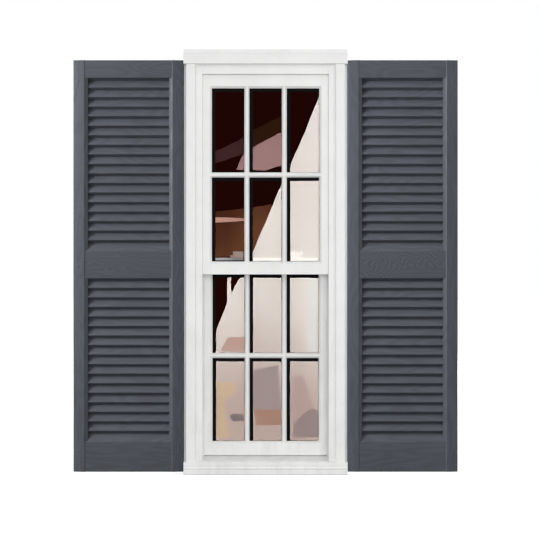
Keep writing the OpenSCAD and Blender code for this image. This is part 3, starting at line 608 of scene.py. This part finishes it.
def panel_shell(shell, s, low, high, seed):
    """The rails and louvres as one skin: the front line (depth, z) carried across, its ends cut to the
    slope of the stiles' bevels, and a back line that follows it inside the wall."""
    depth = high[1] - low[1]
    rail, top, cut = depth - s.rail_step, depth - 1 * MM, 2 * MM
    tall = high[2] - low[2]
    upper_lip = tall - s.top_rail
    lower_lip = s.bottom_rail + (s.lower_louvres - 1) * s.pitch + s.under + s.last
    corners = [(top - cut, tall), (top, tall - cut, END_RADIUS), (top, upper_lip, RAIL_RADIUS)]
    corners += louvre_line(s, upper_lip, s.upper_louvres, rail)
    corners += [(rail, lower_lip, RAIL_RADIUS)]
    corners += louvre_line(s, lower_lip, s.lower_louvres, rail)
    corners += [(rail, cut, END_RADIUS), (rail - cut, 0)]
    front = rounded(corners, 4)
    back = np.column_stack([front[:, 0] - 1.5 * s.wall, np.clip(front[:, 1], s.wall, tall - s.wall)])
    outline = np.concatenate([front, back[::-1]])
    reach = bevel_place(s, outline[:, 0], depth) - 0.6 * s.wall
    at = np.column_stack([high[1] - outline[:, 0], low[2] + outline[:, 1]])
    grid = carried(at, low[0] + reach, high[0] - reach, 0)
    across = spread(front)
    figured = (outline[:, 1] > lower_lip) & (outline[:, 1] < lower_lip + s.middle_rail)
    grain = grain_over(grid, grid[..., 0], np.concatenate([across, across[::-1]]), seed + FIGURED * figured)
    shell.add(grid, grain, strip=True)


# Seed of each shutter's grain, and what its right stile and its rails and louvres add to it
GRAIN_SEEDS = {"left": 3.7, "right": 11.2}
RIGHT_STILE_SEED = 2.3
PANEL_SEED = 5.1


def shutter_piece(side, settings, material):
    """A whole shutter, as a hollow moulding: two stiles, and a skin of rails and louvres."""
    node = "shutter_" + side
    low, high = corners_of(node)
    seed = GRAIN_SEEDS[side]
    shell = Shell()
    stile_shell(shell, settings, low, high, True, seed)
    stile_shell(shell, settings, low, high, False, seed + RIGHT_STILE_SEED)
    panel_shell(shell, settings, low, high, seed + PANEL_SEED)
    stand_in(node, "_moulding", shell, material, crease=30)


# Radii of a fastener's head, neck, shank, grooves and end, and of the points that close its outline
HEAD_R, NECK_R, SHANK_R, GROOVE_R, END_R, POINT_R = 6 * MM, 3.8 * MM, 3.2 * MM, 2.9 * MM, 1.6 * MM, 1e-5
# Height of the head's dome, and the depth at which the neck narrows to the shank
DOME = 2.4 * MM
NECK_END = 28.4 * MM
# In millimetres: where the ribs start, how far before the end they stop, and their pitch
RIBS_START, RIBS_STOP, RIB_PITCH = 34, 6, 4.0


def fastener_piece(side, material):
    """The fasteners of a shutter: a ribbed shank under a low domed head, turned about y."""
    node = "shutter_fasteners_" + side
    low, high = corners_of(node)
    long = high[1] - low[1]
    quarter = np.linspace(0, math.pi / 2, 9)
    head = [(max(HEAD_R * math.sin(a), POINT_R), DOME * (1 - math.cos(a))) for a in quarter]
    neck = [(HEAD_R, DOME), (NECK_R, DOME + 0.1 * MM), (NECK_R, NECK_END - 0.1 * MM), (SHANK_R, NECK_END)]
    ribs = []
    for y in np.arange(RIBS_START, long / MM - RIBS_STOP, RIB_PITCH):
        ribs += [(SHANK_R, y * MM), (GROOVE_R, (y + 0.6) * MM), (SHANK_R, (y + 3.2) * MM)]
    profile = np.array(head + neck + ribs + [(SHANK_R, long - 3 * MM), (END_R, long), (POINT_R, long)])
    shell = Shell()
    for x in (low[0] + HEAD_R, high[0] - HEAD_R):
        for z in (low[2] + HEAD_R, (low[2] + high[2]) / 2, high[2] - HEAD_R):
            shell.add(turned(profile, (x, low[1], z), sides=24))
    stand_in(node, "_heads", shell, material, crease=40)


# ---- Casing

# Section of a side casing, from the outer edge in: strip, face, cove, and rabbet over the jamb
STRIP_WIDE, STRIP_DEEP = 8 * MM, 14 * MM
FACE_WIDE, FACE_DEEP = 31 * MM, 34 * MM
COVE_WIDE, COVE_DEEP = 12 * MM, 27 * MM
RABBET = 35 * MM
# The head casing: its height and depth, and the radius and the start of its face's roll
HEAD_HIGH, HEAD_DEEP, HEAD_ROLL, ROLL_START = 50 * MM, 38 * MM, 40 * MM, 14 * MM
# Height of the cove under the head, and how far from the middle its mitres start and end
COVE_HIGH = 16 * MM
MITRES = (227 * MM, 239 * MM)


def cove_curve():
    """The hollow of the cove as (share of its width, y): a quarter of an ellipse, back from the face."""
    hollow = FACE_DEEP - COVE_DEEP
    return [(t, hollow * math.sqrt(1 - (1 - t) ** 2) - FACE_DEEP) for t in np.linspace(0, 1, 9)[1:]]


def casing_side_piece(side, material):
    """A side casing: its section (x, y) carried up, and mitred under the head's cove."""
    node = "casing_" + side
    low, high = corners_of(node)
    outer = max(abs(low[0]), abs(high[0]))
    face_out, face_in = outer - STRIP_WIDE, outer - STRIP_WIDE - FACE_WIDE
    corners = [(outer, 0), (outer, -STRIP_DEEP, 1.6 * MM), (face_out, -STRIP_DEEP, 0.8 * MM),
               (face_out, -FACE_DEEP, 2.4 * MM), (face_in, -FACE_DEEP, 1 * MM)]
    corners += [(face_in - COVE_WIDE * t, y) for t, y in cove_curve()]
    outline = rounded(corners + [(outer - RABBET, -COVE_DEEP), (outer - RABBET, 0)], 5)
    top = np.interp(outline[:, 0], [face_in - COVE_WIDE, face_in], [high[2] - COVE_HIGH, high[2]])
    outline[:, 0] *= -1 if side == "left" else 1
    shell = Shell().add(carried(outline, low[2], top, 2))
    stand_in(node, "_moulding", shell, material)


def casing_head_piece(material):
    """The head casing: a face that rolls back to a stepped top edge, and the mitred cove under it."""
    node = "casing_head"
    low, high = corners_of(node)
    bottom, top = high[2] - HEAD_HIGH, high[2]
    turn = np.radians(np.linspace(180, 138, 9))
    roll = [(HEAD_ROLL * (1 + math.cos(a)) - HEAD_DEEP, bottom + ROLL_START + HEAD_ROLL * math.sin(a))
            for a in turn]
    corners = [(0, bottom), (-HEAD_DEEP, bottom, 2.6 * MM), *roll, (-28 * MM, top - 3 * MM, 0.8 * MM),
               (-25.6 * MM, top, 1.6 * MM), (0, top)]
    shell = Shell().add(carried(rounded(corners, 5), low[0], high[0], 0))
    lap = bottom + 1 * MM
    cove = [(y, bottom - COVE_HIGH * t) for t, y in cove_curve()]
    outline = np.array([(-FACE_DEEP, lap), (-FACE_DEEP, bottom), *cove, (-COVE_DEEP, lap)])
    reach = np.interp(outline[:, 1], [bottom - COVE_HIGH, bottom], MITRES)
    shell.add(carried(outline, -reach, reach, 0))
    stand_in(node, "_moulding", shell, material)


# ---- Glazing


# How far a pane runs in behind the sash and lies back from its face, the depth of the bevel round it, and
# how far the outdoor bars bite into that bevel
PANE_LAP = 8 * MM
PANE_BACK = 11 * MM
SASH_BEVEL = 7 * MM
BAR_BITE = 0.2 * MM
# The share by which level bars stand off less, so that they share no plane with upright ones
LEVEL_LESS = 0.015


class Light:
    """The visible glass of a sash: its edges, its depths and the middles of its bars."""

    def __init__(self, sash, bar):
        low, high = corners_of(sash + "_pane_outer")
        self.left, self.right = low[0] + PANE_LAP, high[0] - PANE_LAP
        self.bottom, self.top = low[2] + PANE_LAP, high[2] - PANE_LAP
        self.front = low[1]
        self.face = low[1] - PANE_BACK
        self.back = corners_of(sash + "_pane_inner")[1][1]
        wide, tall = self.right - self.left, self.top - self.bottom
        pane_w, pane_h = (wide - 2 * bar) / 3, (tall - bar) / 2
        self.bars_x = [self.left + pane_w + bar / 2, self.right - pane_w - bar / 2]
        self.bars_z = [self.bottom + pane_h + bar / 2]


def bar_outline(width, depth):
    """Section of a glazing bar as (across, out): a straight foot, a hollow shoulder and a soft nose."""
    half, turn = width / 2, np.linspace(0, 1, 5)
    narrowed = half - 0.45 * depth * (turn + 0.12 * np.sin(math.pi * turn))
    shoulder = zip(narrowed, depth * (0.3 + 0.62 * turn))
    side = [(half, 0), *shoulder, (half - 0.57 * depth, depth)]
    return np.array(side + [(-a, b) for a, b in side[::-1]])


def bars_piece(sash, side, settings, material):
    """The glazing bars on one face of a sash, two upright and one level, carried to the sash's edges and,
    outdoors, on over its bevel."""
    light = Light(sash, settings.bar)
    outdoor = side == "outer"
    outline = bar_outline(settings.bar, settings.bar_out if outdoor else settings.bar_in)
    base, way = (light.front, -1) if outdoor else (light.back, 1)
    y = base + way * outline[:, 1]
    extra = np.maximum(0, SASH_BEVEL - (y - light.face)) + BAR_BITE if outdoor else 0.0
    shell = Shell()
    for x in light.bars_x:
        at = np.column_stack([x + outline[:, 0], y])
        shell.add(carried(at, light.bottom - extra, light.top + extra, 2))
    for z in light.bars_z:
        at = np.column_stack([y - LEVEL_LESS * (y - base), z + outline[:, 0]])
        shell.add(carried(at, light.left - extra, light.right + extra, 0))
    node = f"{sash}_muntins_{side}"
    stand_in(node, "_bars", shell, material, crease=50)


# Section of a black strip round a light, both the seals and the painted shadow, as shares of its width and
# of its height, from the light's edge inwards
SEAL_AND_SHADOW_SECTION = np.array([(0.0, 0.0), (0.0, 0.5), (0.5, 0.9), (0.8, 0.8), (0.95, 0.45), (1.0, 0.0)])
SEAL_AND_SHADOW_HIGH = 0.8 * MM


def seal_and_painted_shadow_piece(sash, settings, material):
    """Low rounded black strips along each light's four edges: a thin seal at the right and bottom, and a
    wide painted shadow of the bars and sash at the left and top, and of the meeting rail at the top of the
    lower sash's lights.
    """
    light = Light(sash, settings.bar)
    half = settings.bar / 2
    xs = [light.left, *[v for x in light.bars_x for v in (x - half, x + half)], light.right]
    zs = [light.bottom, *[v for z in light.bars_z for v in (z - half, z + half)], light.top]
    wide, thin = settings.painted_shadow_wide, settings.tape_thin
    shell = Shell()
    for x0, x1 in zip(xs[::2], xs[1::2]):
        for z0, z1 in zip(zs[::2], zs[1::2]):
            # The wide sides, at the left and top and under the meeting rail, are painted shadow.
            left, right, foot = x0 + wide, x1 - thin, z0 + thin
            head = z1 - (settings.painted_shadow_meeting if sash == "lower" and z1 == light.top else wide)
            outer = np.array([(x0, z0), (x1, z0), (x1, z1), (x0, z1)])
            inner = np.array([(left, foot), (right, foot), (right, head), (left, head)])
            at = outer[:, None] + SEAL_AND_SHADOW_SECTION[None, :, :1] * (inner - outer)[:, None]
            depth = np.broadcast_to(light.front - SEAL_AND_SHADOW_HIGH * SEAL_AND_SHADOW_SECTION[:, 1], at.shape[:2])
            shell.add(np.stack([at[..., 0], depth, at[..., 1]], -1), ring=True)
    make_piece(sash + "_glazing_seals", shell, material, sash + "_sash", crease=60)


# ---- Operators


MATERIALS = {}


def finishes():
    """Every finish of the object, made once and kept by name."""
    if MATERIALS:
        return MATERIALS
    scene = bpy.context.scene
    window, shutter = scene.window_looks, scene.shutter_looks
    MATERIALS.update(
        vinyl=vinyl_finish("grained_vinyl", tuple(shutter.vinyl), shutter.relief),
        plain_vinyl=vinyl_finish("plain_vinyl", tuple(shutter.vinyl), 0.1 * MM, grained=False),
        paint_up=paint_finish("satin_paint_upright", tuple(window.paint), (260.0, 260.0, 14.0)),
        paint_level=paint_finish("satin_paint_level", tuple(window.paint), (14.0, 260.0, 260.0)),
        glass=glass_finish("pane_glass", tuple(window.tint)),
        # Black of the real spacers, and of the strips round the lights that are painted shadow.
        black=rubber_finish("black_spacer", (0.004, 0.0032, 0.003)),
        seal=pile_finish("pile_seal", (0.045, 0.045, 0.045)),
        enamel=enamel_finish("lock_enamel", tuple(window.metal)),
        tube=metal_finish("painted_tube", (0.75, 0.76, 0.77), 0.35, (900.0, 900.0, 36.0)),
        steel=metal_finish("zinc_plate", (0.56, 0.57, 0.58), 0.32, (900.0, 900.0, 900.0)),
    )
    return MATERIALS


class Step:
    """What the steps share: each builds its pieces from the scene and the finishes."""

    def execute(self, context):
        self.build(context.scene, finishes())
        return {"FINISHED"}


class LOOKS_OT_shutters(Step, bpy.types.Operator):
    """Build the two moulded shutters"""
    bl_idname = "looks.shutters"
    bl_label = "Shutters"

    def build(self, scene, made):
        for side in SIDES:
            shutter_piece(side, scene.shutter_looks, made["vinyl"])


class LOOKS_OT_fasteners(Step, bpy.types.Operator):
    """Build the shutters' fasteners"""
    bl_idname = "looks.fasteners"
    bl_label = "Shutter fasteners"

    def build(self, scene, made):
        for side in SIDES:
            fastener_piece(side, made["plain_vinyl"])


class LOOKS_OT_casing(Step, bpy.types.Operator):
    """Build the side and head casings"""
    bl_idname = "looks.casing"
    bl_label = "Casing"

    def build(self, scene, made):
        for side in SIDES:
            casing_side_piece(side, made["paint_up"])
        casing_head_piece(made["paint_level"])


class LOOKS_OT_bars(Step, bpy.types.Operator):
    """Build the glazing bars on both faces of each sash"""
    bl_idname = "looks.bars"
    bl_label = "Glazing bars"

    def build(self, scene, made):
        for sash in SASHES:
            for side in ("outer", "inner"):
                bars_piece(sash, side, scene.window_looks, made["paint_up"])


class LOOKS_OT_seals_and_painted_shadows(Step, bpy.types.Operator):
    """Build the black strips round the lights: thin seals, and wide painted shadow at the left and top"""
    bl_idname = "looks.seals"
    bl_label = "Seals and painted shadows"

    def build(self, scene, made):
        for sash in SASHES:
            seal_and_painted_shadow_piece(sash, scene.window_looks, made["black"])


# The nodes whose edges are rounded over, by the way their brush marks run, and the hardware
PAIRED = ("jamb", "blind_stop", "parting_bead", "inner_stop", "upper_stile", "lower_stile")
UPRIGHT = [f"{part}_{side}" for part in PAIRED for side in SIDES]
UPRIGHT += [sash + "_glazing_beads" for sash in SASHES]
LEVEL = ("casing_sill", "jamb_head", "sill", "blind_stop_head", "parting_bead_head", "inner_stop_head",
         "upper_top_rail", "upper_meeting_rail", "lower_meeting_rail", "lower_bottom_rail")
HARDWARE = ("lock_base_left", "lock_base_right", "lock_cam_left", "lock_cam_right", "lock_keepers",
            "finger_lifts")


class LOOKS_OT_woodwork(Step, bpy.types.Operator):
    """Round over the edges of the frame and the sashes and paint them"""
    bl_idname = "looks.woodwork"
    bl_label = "Frame and sashes"

    def build(self, scene, made):
        for nodes, finish in ((UPRIGHT, "paint_up"), (LEVEL, "paint_level")):
            for node in nodes:
                softened(node, made[finish], scene.window_looks.edge)


class LOOKS_OT_hardware(Step, bpy.types.Operator):
    """Round over the edges of the locks and lifts and enamel them"""
    bl_idname = "looks.hardware"
    bl_label = "Locks and lifts"

    def build(self, scene, made):
        for node in HARDWARE:
            softened(node, made["enamel"], 0.7 * MM, segments=3)


# The finish of each slot's CAD nodes
CARRIED = {"glass": "glass", "spacer": "black", "weatherstrip": "seal", "balance_tube": "tube",
           "steel": "steel", "hardware": "enamel", "white_paint": "paint_up",
           "shutter_vinyl": "plain_vinyl", "fastener": "plain_vinyl"}


class LOOKS_OT_carried(Step, bpy.types.Operator):
    """Give the CAD nodes their finishes"""
    bl_idname = "looks.carried"
    bl_label = "Panes, spacers, balances and screws"

    def build(self, scene, made):
        for name, node in frame["nodes"].items():
            finish = made[CARRIED[SLOTS[name]]]
            if not node.data.materials:
                node.data.materials.append(finish)
            for i in range(len(node.data.materials)):
                node.data.materials[i] = finish


def glow(name, dim, full, start, end, strength):
    """A glowing material, dim at height start and full at height end, with soft clouds and streaks."""
    f = Finish(name, Base_Color=(0, 0, 0), Roughness=1.0, Specular_IOR_Level=0.0,
               Emission_Strength=strength)
    place = f.place()
    cloud = f.noise(place, (1.6, 1.0, 0.9), detail=2)
    streak = f.noise(place, (4.5, 1.0, 0.6), detail=3)
    shine = f.blend(f.between(f.part(place, 2) + cloud * 1.1 - 0.55, start, end), dim, full)
    f.set(Emission_Color=f.blend(f.between(streak, 0.40, 0.62, 0.0, 0.22), shine, shade(dim, 0.72)))
    return f.material


def sheet(name, corners, material):
    """A flat stage piece with the given corners."""
    mesh = bpy.data.meshes.new(name)
    mesh.from_pydata([tuple(c) for c in corners], [], [tuple(range(len(corners)))])
    mesh.materials.append(material)
    made = new_object(name, mesh)
    return made


def hide_from(obj, *rays):
    """Keeps an object out of sight of some kinds of rays."""
    for ray in rays:
        setattr(obj, "visible_" + ray, False)


def area_light(name, place, aim, size, power):
    """A square light at a place, turned to face a point."""
    data = bpy.data.lights.new(name, "AREA")
    data.shape, data.size, data.energy = "SQUARE", size, power
    light = new_object(name, data)
    hide_from(light, "camera", "transmission")
    light.location = place
    light.rotation_euler = (Vector(aim) - Vector(place)).to_track_quat("-Z", "Y").to_euler()
    return light


def linked(name, objects, leave_out=False):
    """A collection for light linking that takes in these objects, or leaves them out."""
    group = bpy.data.collections.new(name)
    for obj in objects:
        group.objects.link(obj)
    if leave_out:
        for member in group.collection_objects:
            member.light_linking.link_state = "EXCLUDE"
    return group


def studio_sky():
    """A soft sky, brightest at the upper left in front and dim below, and plain white as a background."""
    world = bpy.data.worlds.new("studio")
    bpy.context.scene.world = world
    world.use_nodes = True
    tree = world.node_tree
    tree.nodes.clear()
    brightest = Vector((-0.06, -0.72, 0.69)).normalized()
    facing = add_node(tree, "VectorMath", add_node(tree, "TexCoord"), brightest, operation="DOT_PRODUCT")
    strength = add_node(tree, "MapRange", facing, -0.75, 1.0, 0.22, 0.745, interpolation_type="SMOOTHSTEP")
    sky = add_node(tree, "Background", (1, 1, 1), strength)
    white = add_node(tree, "Background", (1, 1, 1))
    shown = add_node(tree, "MixShader", add_node(tree, "LightPath"), sky, white)
    connect(tree, tree.nodes.new("ShaderNodeOutputWorld").inputs["Surface"], shown)


def studio_floor(tint):
    """A wide pale floor that shows to the camera only."""
    f = Finish("studio_floor", Roughness=0.9, Emission_Color=(1, 1, 1), Emission_Strength=0.62)
    f.set(Base_Color=f.blend(f.noise(f.place(), 2.0, detail=4), shade(tint, 0.985), tint))
    floor = sheet("studio_floor", [(-14, -9, 0), (14, -9, 0), (14, 24, 0), (-14, 24, 0)], f.material)
    hide_from(floor, "diffuse", "glossy", "transmission")


# How far the middle of each shutter lies from the window's middle
SHUTTER_MIDDLE = 0.465


def studio_lights(scene, panes):
    """A key light for each shutter alone, a front light for all but shutters and panes, and a back light.
    Panes cast no shadow of the last two."""
    shutters = [o for o in scene.objects if o.name.startswith("shutter_")]
    through = linked("all_but_panes", panes, leave_out=True)
    for side, middle in zip(SIDES, (-SHUTTER_MIDDLE, SHUTTER_MIDDLE)):
        alone = linked("shutter_only_" + side, [o for o in shutters if side in o.name])
        key = area_light("key_" + side, (middle - 3.1, -1.6, 2.1), (middle, 0, 1.15), size=1.2, power=48)
        key.data.spread = math.radians(90)
        key.light_linking.receiver_collection = alone
        key.light_linking.blocker_collection = alone
    front = area_light("front", (0.6, -5.2, 1.3), (0, 0, 0.6), size=3.0, power=116)
    others = linked("all_but_shutters_and_panes", panes + shutters, leave_out=True)
    front.light_linking.receiver_collection = others
    back = area_light("back", (2.4, 4.6, 3.4), (0, 0, 0.8), size=3.0, power=210)
    for light in (front, back):
        light.light_linking.blocker_collection = through


# Strength of the bright cards: high, because glass gives back only a few hundredths of it
CARD_GLOW = 20.0
# How far the first stands in front of the camera, and each behind the one before it
CARD_GAP = 20 * MM
CARD_STEP = 2 * MM
# The sky and the house that the panes mirror, earlier cards over later ones: name, dim and full colour,
# heights in metres between which the glow rises, and outline on the glass in millimetres (x, z)
SKY = ((0.60, 0.47, 0.42), (1.0, 0.93, 0.86), (-0.3, 0.7))
CARDS = (
    ("cream", (0.69, 0.52, 0.36), (0.80, 0.61, 0.42), (0, 1),
     [(-170, 310), (-100, 310), (-105, 270), (-145, 245), (-125, 115), (-170, 115)]),
    ("bowl", (0.26, 0.21, 0.21), (0.30, 0.24, 0.24), (0, 1),
     [(-125, 190), (-110, 200), (-75, 195), (-75, 175), (-110, 170)]),
    ("amber", (0.47, 0.28, 0.21), (0.55, 0.33, 0.24), (0, 1),
     [(-40, 215), (50, 215), (50, 160), (-30, 160)]),
    ("mauve", (0.43, 0.35, 0.34), (0.50, 0.41, 0.40), (0, 1),
     [(-45, 355), (40, 375), (50, 215), (-45, 215)]),
    ("rose", (0.58, 0.43, 0.40), (0.68, 0.50, 0.46), (0, 1),
     [(90, 330), (125, 335), (165, 220), (130, 200), (95, 160)]),
    ("dusk", (0.38, 0.30, 0.29), (0.44, 0.35, 0.34), (0, 1),
     [(95, 160), (130, 200), (165, 220), (185, 200), (185, 115), (95, 115)]),
    ("blush", (0.60, 0.40, 0.34), (0.70, 0.46, 0.39), (0, 1),
     [(-125, 460), (-70, 460), (-70, 415), (-150, 415)]),
    ("gleam", (0.86, 0.86, 0.82), (1.0, 1.0, 0.95), (0, 1),
     [(140, 675), (165, 675), (170, 420), (140, 420)]),
    ("bright", *SKY, [(-240, 300), (-130, 580), (-45, 755), (85, 1055), (180, 1270), (240, 1440),
                      (400, 1440), (400, -200), (-240, -200)]),
    ("strip", *SKY, [(-130, 700), (-120, 700), (-115, 605), (-130, 575)]),
    ("eave", (0.050, 0.024, 0.022), (0.045, 0.022, 0.022), (1.05, 1.15),
     [(-200, 1090), (-75, 1150), (-75, 1095), (-200, 1045)]),
    ("gable", (0.40, 0.24, 0.23), (0.30, 0.17, 0.165), (1.3, 1.7),
     [(-105, 1035), (-75, 1100), (70, 1175), (70, 1060), (0, 1035)]),
    ("soffit", (0.022, 0.011, 0.006), (0.018, 0.009, 0.004), (1.1, 1.25),
     [(-50, 1170), (70, 1225), (70, 1165), (-50, 1105)]),
    ("band", (0.52, 0.28, 0.22), (0.60, 0.33, 0.26), (0.9, 1.1),
     [(-200, 870), (-75, 870), (-75, 860), (-200, 850)]),
    ("wall", (0.14, 0.055, 0.026), (0.055, 0.020, 0.011), (0.8, 1.15),
     [(-200, 885), (75, 925), (-20, 745), (-200, 745)]),
)
# Colour of the dim surroundings and of the dim room, and the rays that no card is seen by
NIGHT = (0.015, 0.0022, 0.0014)
UNSEEN_BY = ("camera", "diffuse", "shadow", "volume_scatter")


def studio_cards(s, panes):
    """Dark cards far in front and behind, seen in reflections and through glass, and bright cards that only
    the panes mirror. Those stand at the camera, so each is mirrored at half its distance from the aim."""
    dark = glow("dark_card", NIGHT, NIGHT, 0, 1, 1.0)
    for name, reach, y, bottom, top in (("front_card", 2, -6, -2.5, 4), ("back_card", 3.2, 0.9, -1.5, 3.6)):
        corners = [(-reach, y, bottom), (reach, y, bottom), (reach, y, top), (-reach, y, top)]
        hide_from(sheet(name, corners, dark), *UNSEEN_BY)
    mirrors = linked("panes_only", panes)
    for order, (name, dim, full, heights, outline) in enumerate(CARDS):
        glowing = glow(name + "_card", dim, full, *heights, CARD_GLOW)
        depth = CARD_GAP - s.distance - order * CARD_STEP
        corners = [(2 * x * MM - s.aim_x, depth, 2 * z * MM - s.aim_z) for x, z in outline]
        card = sheet(name + "_card", corners, glowing)
        hide_from(card, "transmission", *UNSEEN_BY)
        card.light_linking.receiver_collection = mirrors


# Width of the camera's sensor in millimetres, and how far in front of the wall the view width is taken
SENSOR = 36
VIEW_PLANE = 0.03


def studio_camera(scene, s):
    """A level camera in front of the window, as wide at the object as the settings say."""
    camera = new_object("camera", bpy.data.cameras.new("camera"))
    camera.data.sensor_width = SENSOR
    camera.data.lens = SENSOR * (s.distance - VIEW_PLANE) / s.view_width
    camera.location = (s.aim_x, -s.distance, s.aim_z)
    camera.rotation_euler = (math.pi / 2, 0, 0)
    scene.camera = camera


class LOOKS_OT_stage(Step, bpy.types.Operator):
    """Set the camera, the lights, the floor and the cards that the glass mirrors"""
    bl_idname = "looks.stage"
    bl_label = "Stage"

    def build(self, scene, made):
        panes = [node for name, node in frame["nodes"].items() if SLOTS[name] == "glass"]
        scene.view_settings.view_transform = "Standard"
        studio_sky()
        studio_floor(tuple(scene.stage_looks.floor))
        studio_lights(scene, panes)
        studio_cards(scene.stage_looks, panes)
        studio_camera(scene, scene.stage_looks)


class LOOKS_PT_panel(bpy.types.Panel):
    """Sizes, colours and steps of the window and its shutters"""
    bl_idname = "LOOKS_PT_panel"
    bl_label = "Louvred shutters"
    bl_space_type = "VIEW_3D"
    bl_region_type = "UI"
    bl_category = "Shutters"

    def draw(self, context):
        for place, kind in GROUPS.items():
            box = self.layout.box()
            box.label(text=kind.__doc__)
            for name in kind.__annotations__:
                box.prop(getattr(context.scene, place), name)
        for step in STEPS:
            self.layout.operator(step.bl_idname)


STEPS = (LOOKS_OT_shutters, LOOKS_OT_fasteners, LOOKS_OT_casing, LOOKS_OT_bars, LOOKS_OT_seals_and_painted_shadows,
         LOOKS_OT_woodwork, LOOKS_OT_hardware, LOOKS_OT_carried, LOOKS_OT_stage)
GROUPS = {"shutter_looks": ShutterSettings, "window_looks": WindowSettings, "stage_looks": StageSettings}


def register():
    for kind in (*GROUPS.values(), *STEPS, LOOKS_PT_panel):
        bpy.utils.register_class(kind)
    for name, kind in GROUPS.items():
        setattr(bpy.types.Scene, name, bpy.props.PointerProperty(type=kind))


def unregister():
    for name in GROUPS:
        delattr(bpy.types.Scene, name)
    for kind in reversed((*GROUPS.values(), *STEPS, LOOKS_PT_panel)):
        bpy.utils.unregister_class(kind)


def main():
    """Registers the classes and runs every step in order."""
    register()
    for step in STEPS:
        family, name = step.bl_idname.split(".")
        getattr(getattr(bpy.ops, family), name)()


if __name__ == "__main__":
    main()
